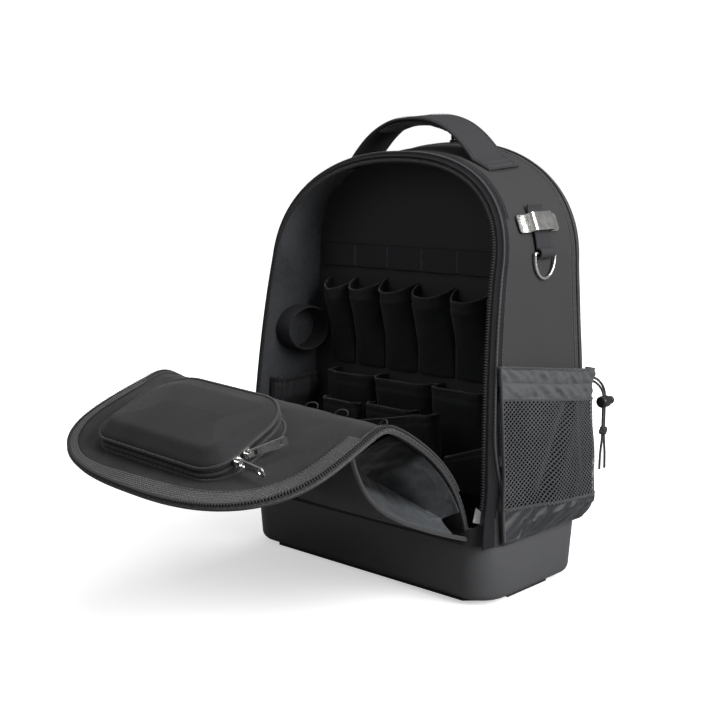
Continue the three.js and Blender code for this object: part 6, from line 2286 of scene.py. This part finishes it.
@dataclass
class Interior(SubAssembly):
    """Tool sleeves, pockets, webbing strip, loop, gathered pocket and label. Sizes in mm."""

    cloth: float = 1.5
    divider_y: float = 20.0
    strip_shares: tuple = ((BODY.up, 0.665), (BODY.up, 0.73), (BODY.across, 0.93))
    rows: tuple = (
        PocketRow("tool_sleeve_1", -0.86, -0.625, 0.37, 0.605, 25, 2.1),
        PocketRow("tool_sleeve_2", -0.61, -0.34, 0.37, 0.61, 28, 2.1),
        PocketRow("tool_sleeve_3", -0.325, -0.04, 0.37, 0.61, 29, 2.1),
        PocketRow("tool_sleeve_4", -0.025, 0.29, 0.37, 0.605, 29, 2.1),
        PocketRow("tool_sleeve_5", 0.305, 0.59, 0.37, 0.6, 27, 2.1),
        PocketRow("tool_sleeve_6", 0.605, 0.86, 0.37, 0.6, 25, 2.1),
        PocketRow("middle_pocket_1", -0.77, -0.34, 0.1, 0.35, 30, 5),
        PocketRow("middle_pocket_2", -0.32, 0.18, 0.1, 0.35, 30, 5),
        PocketRow("middle_pocket_3", 0.2, 0.66, 0.1, 0.35, 30, 5),
        PocketRow("low_pocket_1", -0.7, -0.37, 0.1, 0.275, 16.3, 6, 29.7),
        PocketRow("low_pocket_2", -0.28, 0.14, 0.1, 0.28, 18.2, 6, 27.8),
        PocketRow("large_pocket", -0.6, 0.42, 0.07, 0.21, 22, 6, 46.8, 0.2),
        PocketRow("side_pocket", 0.45, 1.0475, 0.07, 0.17, 24, 6, 31, 0.36),
    )

    def rim_line(self, row: PocketRow, u: float) -> float:
        """Rise of the pocket's mouth, which dips between its held ends."""
        if row.square < 3:
            held = 8.0 * abs(2 * u - 1) ** 1.8 - 3.0 * math.sin(math.pi * u)
            return held + 1.4 * ripple(u * 60, row.left * 300, 0, 9, 3.3)
        return 1.6 * ripple(u * 120, row.left * 300, 0, 22, 5.5)

    def pocket(self, row: PocketRow) -> bpy.types.Object:
        """Pocket whose front stands off what it is sewn to."""
        back_y = self.divider_y - row.rear

        def surface(u: float, v: float) -> list[float]:
            angle = math.pi * (1 - u)
            middle, half = (row.left + row.right) / 2, (row.right - row.left) / 2
            bend = math.copysign(abs(math.cos(angle)) ** (2 / row.square), math.cos(angle))
            x = BODY.across(middle + half * bend)
            swell = 0.12 + 0.88 * clamp(v * 1.15) ** (1.4 if row.square < 3 else 0.6)
            y = back_y - 0.6 - row.depth * swell * abs(math.sin(angle)) ** (2 / row.square)
            slant = row.tilt * (x - BODY.across(row.left))
            z = lerp(BODY.up(row.low), BODY.up(row.high) + slant, v)
            return [x, y, z + self.rim_line(row, u) * smooth((v - 0.6) / 0.4)]

        def relief(u: float, v: float) -> float:
            ease = smooth(min(u, 1 - u) * 9)
            wide = BODY.across(row.right - row.left)
            length = BODY.up(row.high) - BODY.up(row.low)
            folds = 1.9 * ripple(u * wide, row.left * 400, v * length * 0.4, 20, 2.9)
            folds += 0.8 * ripple(u * wide, row.left * 400, v * length * 0.7, 9, 6.6)
            return ease * folds * (0.4 + 0.6 * v) - 0.7 * bump(v, 0.91, 0.02)

        return Shell(surface, 56, 40, self.cloth, relief, rim=0.5).build(f"{row.name}_cloth", sharp=80)

    def mouth(self, row: PocketRow) -> bpy.types.Object:
        """Bound edge of the pocket's mouth."""
        path = []
        for k in range(1, 60):
            u = k / 60
            angle = math.pi * (1 - u)
            middle, half = (row.left + row.right) / 2, (row.right - row.left) / 2
            bend = math.copysign(abs(math.cos(angle)) ** (2 / row.square), math.cos(angle))
            x = BODY.across(middle + half * bend)
            stand = row.depth * abs(math.sin(angle)) ** (2 / row.square)
            y = self.divider_y - row.rear - 0.6 + self.cloth / 2 - stand
            z = BODY.up(row.high) + row.tilt * (x - BODY.across(row.left)) + self.rim_line(row, u)
            path.append([x, y, z])
        return tube(f"{row.name}_binding", path, 1.25, 6)

    def strip(self) -> bpy.types.Object:
        """Webbing strip that is tacked down at an even spacing."""
        low, high, half = (size(share) for size, share in self.strip_shares)

        def surface(u: float, v: float) -> list[float]:
            lift = 1.6 * abs(math.sin(math.pi * u * 6)) ** 0.7
            return [lerp(-half, half, u), self.divider_y - 2.1 - lift, lerp(low, high, v)]

        return Shell(surface, 150, 8, 1.8).build("strip_webbing")

    def tacks(self) -> bpy.types.Object:
        """Bar tacks that hold the strip."""
        low, high, half = (size(share) for size, share in self.strip_shares)
        lines = []
        for k in range(1, 6):
            x = lerp(-half, half, k / 6)
            path = [[x, self.divider_y - 2.3, lerp(low + 1.5, high - 1.5, i / 10)] for i in range(11)]
            lines.append((path, [Vector((0, -1, 0))] * 11))
        return PartRow.lay("strip_tacks", lines, SmallPart("tack_bar", 0.9, 3.4, 0.8), 1.1, THREAD)

    def loop(self) -> bpy.types.Object:
        """Ring of wide webbing on the left wall."""

        def surface(u: float, v: float) -> list[float]:
            angle = 2 * math.pi * u
            z = 241 + 31 * 0.82 * math.sin(angle)
            y = -16 + 31 * math.cos(angle)
            lean = 1.5 * math.sin(angle + 0.8) * v
            return [-(BODY.wall_half(z) - BODY.cloth - 0.7) + 22 * v, y + lean, z - 2.0 * v * math.cos(angle)]

        return Shell(surface, 90, 12, 2.2, wrap=True).build("wall_loop_webbing")

    def gathered(self) -> bpy.types.Object:
        """Pocket gathered by elastic on the left wall."""

        def surface(u: float, v: float) -> list[float]:
            angle = math.pi * u
            y = -19 - 35 * math.copysign(abs(math.cos(angle)) ** 0.5, math.cos(angle))
            z = 146 + 40 * v
            ruffle = (3.0 * math.cos(2 * math.pi * u * 9) * (0.3 + 0.7 * v)
                      + 2.6 * ripple(u * 90, v * 20, 0, 9, 4.0) * v)
            stand = 13 * (0.25 + 0.75 * smooth(v * 2)) * abs(math.sin(angle)) ** 0.5
            pinch = 2.2 * bump(v, 0.86, 0.05)
            ends = abs(math.sin(angle))
            x = -(BODY.wall_half(z) - BODY.cloth - 0.3) + max(stand - pinch, 1) + ruffle * ends
            return [x, y, z + 1.2 * math.cos(2 * math.pi * u * 11) * v * ends]

        return Shell(surface, 150, 24, self.cloth, rim=0.5).build("gathered_cloth", sharp=80)

    def label(self) -> bpy.types.Object:
        """Folded white label at the foot of the opening, left bare."""
        start = 149.5

        def front_inset_at(x: float, z: float) -> float:
            radius = BODY.front_corner(z)
            over = abs(x) - (BODY.wall_half(z) - radius)
            return 0.0 if over <= 0 else radius - math.sqrt(max(radius * radius - over * over, 0))

        def surface(u: float, v: float) -> list[float]:
            x = start + 14 * u
            notch = 3.2 * abs(2 * u - 1) - 1.6
            z = COVER.strip_top + 8 + 12 * v + notch * v
            return [x, BODY.front_y(z) + front_inset_at(x, z) * 0.5 + 0.6
                    + 2.5 * v - 1.2 * v * bump(u, 0.5, 0.2), z]

        return Shell(surface, 24, 16, 0.8).build("label_cloth_piece", sharp=80)

    def make(self) -> None:
        """Builds everything inside the opening."""
        for row in self.rows:
            self.keep(self.pocket(row), POCKET_CLOTH, "lining", row.name)
            self.keep(self.mouth(row), BINDING, "lining")
        self.keep(self.strip(), WEBBING, "webbing", "webbing_strip")
        self.keep(self.tacks(), None, "webbing")
        self.keep(self.loop(), WEBBING, "webbing", "wall_loop")
        self.keep(self.gathered(), LINING, "lining", "gathered_pocket")
        self.keep(self.label(), LABEL_CLOTH, "label", "white_label")


@dataclass
class Harness(SubAssembly):
    """Padded shoulder straps and their lower webbing on the hidden back. Sizes in mm."""

    top_x: float = 56.0
    low_x: float = 84.0
    foot_x: float = 98.0
    width: float = 62.0
    pad: float = 9.0
    strap: float = 25.0
    webbing: float = 2.0
    top: float = 390.0
    pad_low: float = 222.0
    low: float = 140.0
    stand: float = 34.0
    back_pad: float = 8.0

    def strap_pad(self, side: int) -> bpy.types.Object:
        """Padded strap with bound edges."""

        def surface(u: float, v: float) -> list[float]:
            z = lerp(self.top, self.pad_low, v)
            x = side * lerp(self.top_x, self.low_x, v)
            away = self.back_pad + 1.2 + self.stand * math.sin(math.pi * v) ** 2
            return [x + lerp(-0.5, 0.5, u) * self.width, BODY.back_y(z) + away + self.pad, z]

        def thick(u: float, v: float) -> float:
            return self.pad * (0.3 + 0.7 * smooth(min(u, 1 - u) * 7) * smooth(min(v, 1 - v) * 16 + 0.3))

        name = "right" if side > 0 else "left"
        return Shell(surface, 28, 90, thick).build(f"strap_padding_{name}")

    def strap_webbing(self, side: int) -> bpy.types.Object:
        """Webbing from the pad's end to the body's foot."""

        def surface(u: float, v: float) -> list[float]:
            z = lerp(self.pad_low - 0.3, self.low, v)
            x = side * lerp(self.low_x, self.foot_x, v)
            away = self.back_pad + 1.2 + self.webbing + (self.pad - self.webbing) / 2 * (1 - v)
            return [x + lerp(-0.5, 0.5, u) * self.strap, BODY.back_y(z) + away, z]

        name = "right" if side > 0 else "left"
        return Shell(surface, 12, 40, self.webbing).build(f"strap_band_{name}")

    def make(self) -> None:
        """Builds both straps."""
        for side, name in ((1, "right"), (-1, "left")):
            pad = self.keep(self.strap_pad(side), PAD_CLOTH, "foam", f"shoulder_strap_{name}")
            self.keep(self.strap_webbing(side), WEBBING, "webbing", f"strap_webbing_{name}")


@dataclass
class Studio:
    """Camera at the photograph's angle, soft studio light and a pale plain floor."""

    eye: tuple = (0.83652, -0.98607, 0.43028)
    target: tuple = (-0.04031, -0.04143, 0.22183)
    lens: float = 61.57
    key_place: tuple = (2.2, 0.1, 1.25)
    fill_place: tuple = (-0.6, -2.2, 1.5)
    top_place: tuple = (0.2, 0.1, 2.3)
    key: float = 74.0
    top: float = 17.0
    fill: float = 5.5
    world: float = 0.2
    floor_glow: float = 0.5

    def camera(self) -> None:
        """Adds the camera."""
        data = bpy.data.cameras.new("view")
        data.lens, data.sensor_width = self.lens, 36.0
        data.clip_start, data.clip_end = 0.02, 50
        camera = bpy.data.objects.new("view", data)
        bpy.context.scene.collection.objects.link(camera)
        camera.location = self.eye
        back = Vector(self.eye) - Vector(self.target)
        camera.rotation_euler = back.to_track_quat("Z", "Y").to_euler()
        bpy.context.scene.camera = camera

    def light(self, name: str, place: Sequence[float], aim: Sequence[float], size: float,
              power: float) -> None:
        """Adds one soft lamp."""
        data = bpy.data.lights.new(name, "AREA")
        data.shape, data.size, data.energy = "SQUARE", size, power
        lamp = bpy.data.objects.new(name, data)
        bpy.context.scene.collection.objects.link(lamp)
        lamp.location = place
        lamp.rotation_euler = (Vector(place) - Vector(aim)).to_track_quat("Z", "Y").to_euler()

    def floor(self) -> None:
        """Adds the floor."""
        mesh = bpy.data.meshes.new("floor")
        size, z = 14.0, -0.0006
        mesh.from_pydata([(-size, -size, z), (size, -size, z), (size, size, z), (-size, size, z)], [],
                         [(0, 1, 2, 3)])
        ground = new_object("floor", mesh)
        made = bpy.data.materials.new("pale_floor")
        made.use_nodes = True
        nodes = Nodes(made.node_tree)
        shader = made.node_tree.nodes["Principled BSDF"]
        seen = nodes.add("ShaderNodeLightPath").outputs["Is Camera Ray"]
        tone = nodes.add("ShaderNodeMix", {0: seen, 6: (0.3, 0.3, 0.3, 1), 7: (0.95, 0.95, 0.95, 1)},
                         data_type="RGBA")
        place = nodes.add("ShaderNodeTexCoord").outputs["Object"]
        away = nodes.add("ShaderNodeVectorMath", {0: place}, operation="LENGTH").outputs["Value"]
        far = nodes.add("ShaderNodeMapRange", {0: away, 1: 0.25, 2: 0.8, 3: self.floor_glow, 4: 1.0})
        glow = nodes.math("MULTIPLY", seen, far.outputs[0])
        made.node_tree.links.new(tone.outputs[2], shader.inputs["Base Color"])
        made.node_tree.links.new(glow, shader.inputs["Emission Strength"])
        shader.inputs["Roughness"].default_value = 0.9
        shader.inputs["Specular IOR Level"].default_value = 0.1
        shader.inputs["Emission Color"].default_value = (1, 1, 1, 1)
        mesh.materials.append(made)
        ground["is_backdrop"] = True

    def make(self) -> None:
        """Sets up camera, lights and floor."""
        self.camera()
        self.light("key", self.key_place, (0, 0, 0.25), 1.5, self.key)
        self.light("front", self.fill_place, (0, 0, 0.2), 1.6, self.fill)
        self.light("top", self.top_place, (0, 0, 0.2), 1.4, self.top)
        world = bpy.data.worlds.new("studio")
        world.use_nodes = True
        background = world.node_tree.nodes["Background"]
        background.inputs[0].default_value = (1, 1, 1, 1)
        nodes = Nodes(world.node_tree)
        seen = nodes.add("ShaderNodeLightPath").outputs["Is Camera Ray"]
        power = nodes.add("ShaderNodeMapRange", {0: seen, 1: 0.0, 2: 1.0, 3: self.world, 4: 1.0})
        world.node_tree.links.new(power.outputs[0], background.inputs[1])
        bpy.context.scene.world = world
        bpy.context.scene.view_settings.view_transform = "Standard"
        self.floor()


KEPT = {
    "foot_plate": FOOT_RUBBER, "case_zip_1_slider": STEEL, "case_zip_1_pull": STEEL,
    "case_zip_2_slider": STEEL,
    "case_zip_2_pull": STEEL, "rear_zip_slider": LOCK_PLASTIC, "rear_zip_pull": LOCK_PLASTIC,
}


def main() -> tuple[list[float], list[float]]:
    """Builds the scene.

    Returns:
        The lowest and highest corner of the CAD model.
    """
    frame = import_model()
    low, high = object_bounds()
    Studio().make()
    for part in (Drawcord(), Tub(), Body(), Cover(), Pouch(), Case(), Handle(), WallHardware(), NetPocket(),
                 Interior(), Harness()):
        part.make()
    for node, finish in KEPT.items():
        piece = frame["nodes"][node]
        for place in piece.material_slots:
            place.material = finish.material()
        LOG.info("%s keeps its solid", node)
    return list(low), list(high)


if __name__ == "__main__":
    logging.basicConfig(level=logging.INFO, format="%(message)s")
    CAD_BOX = main()
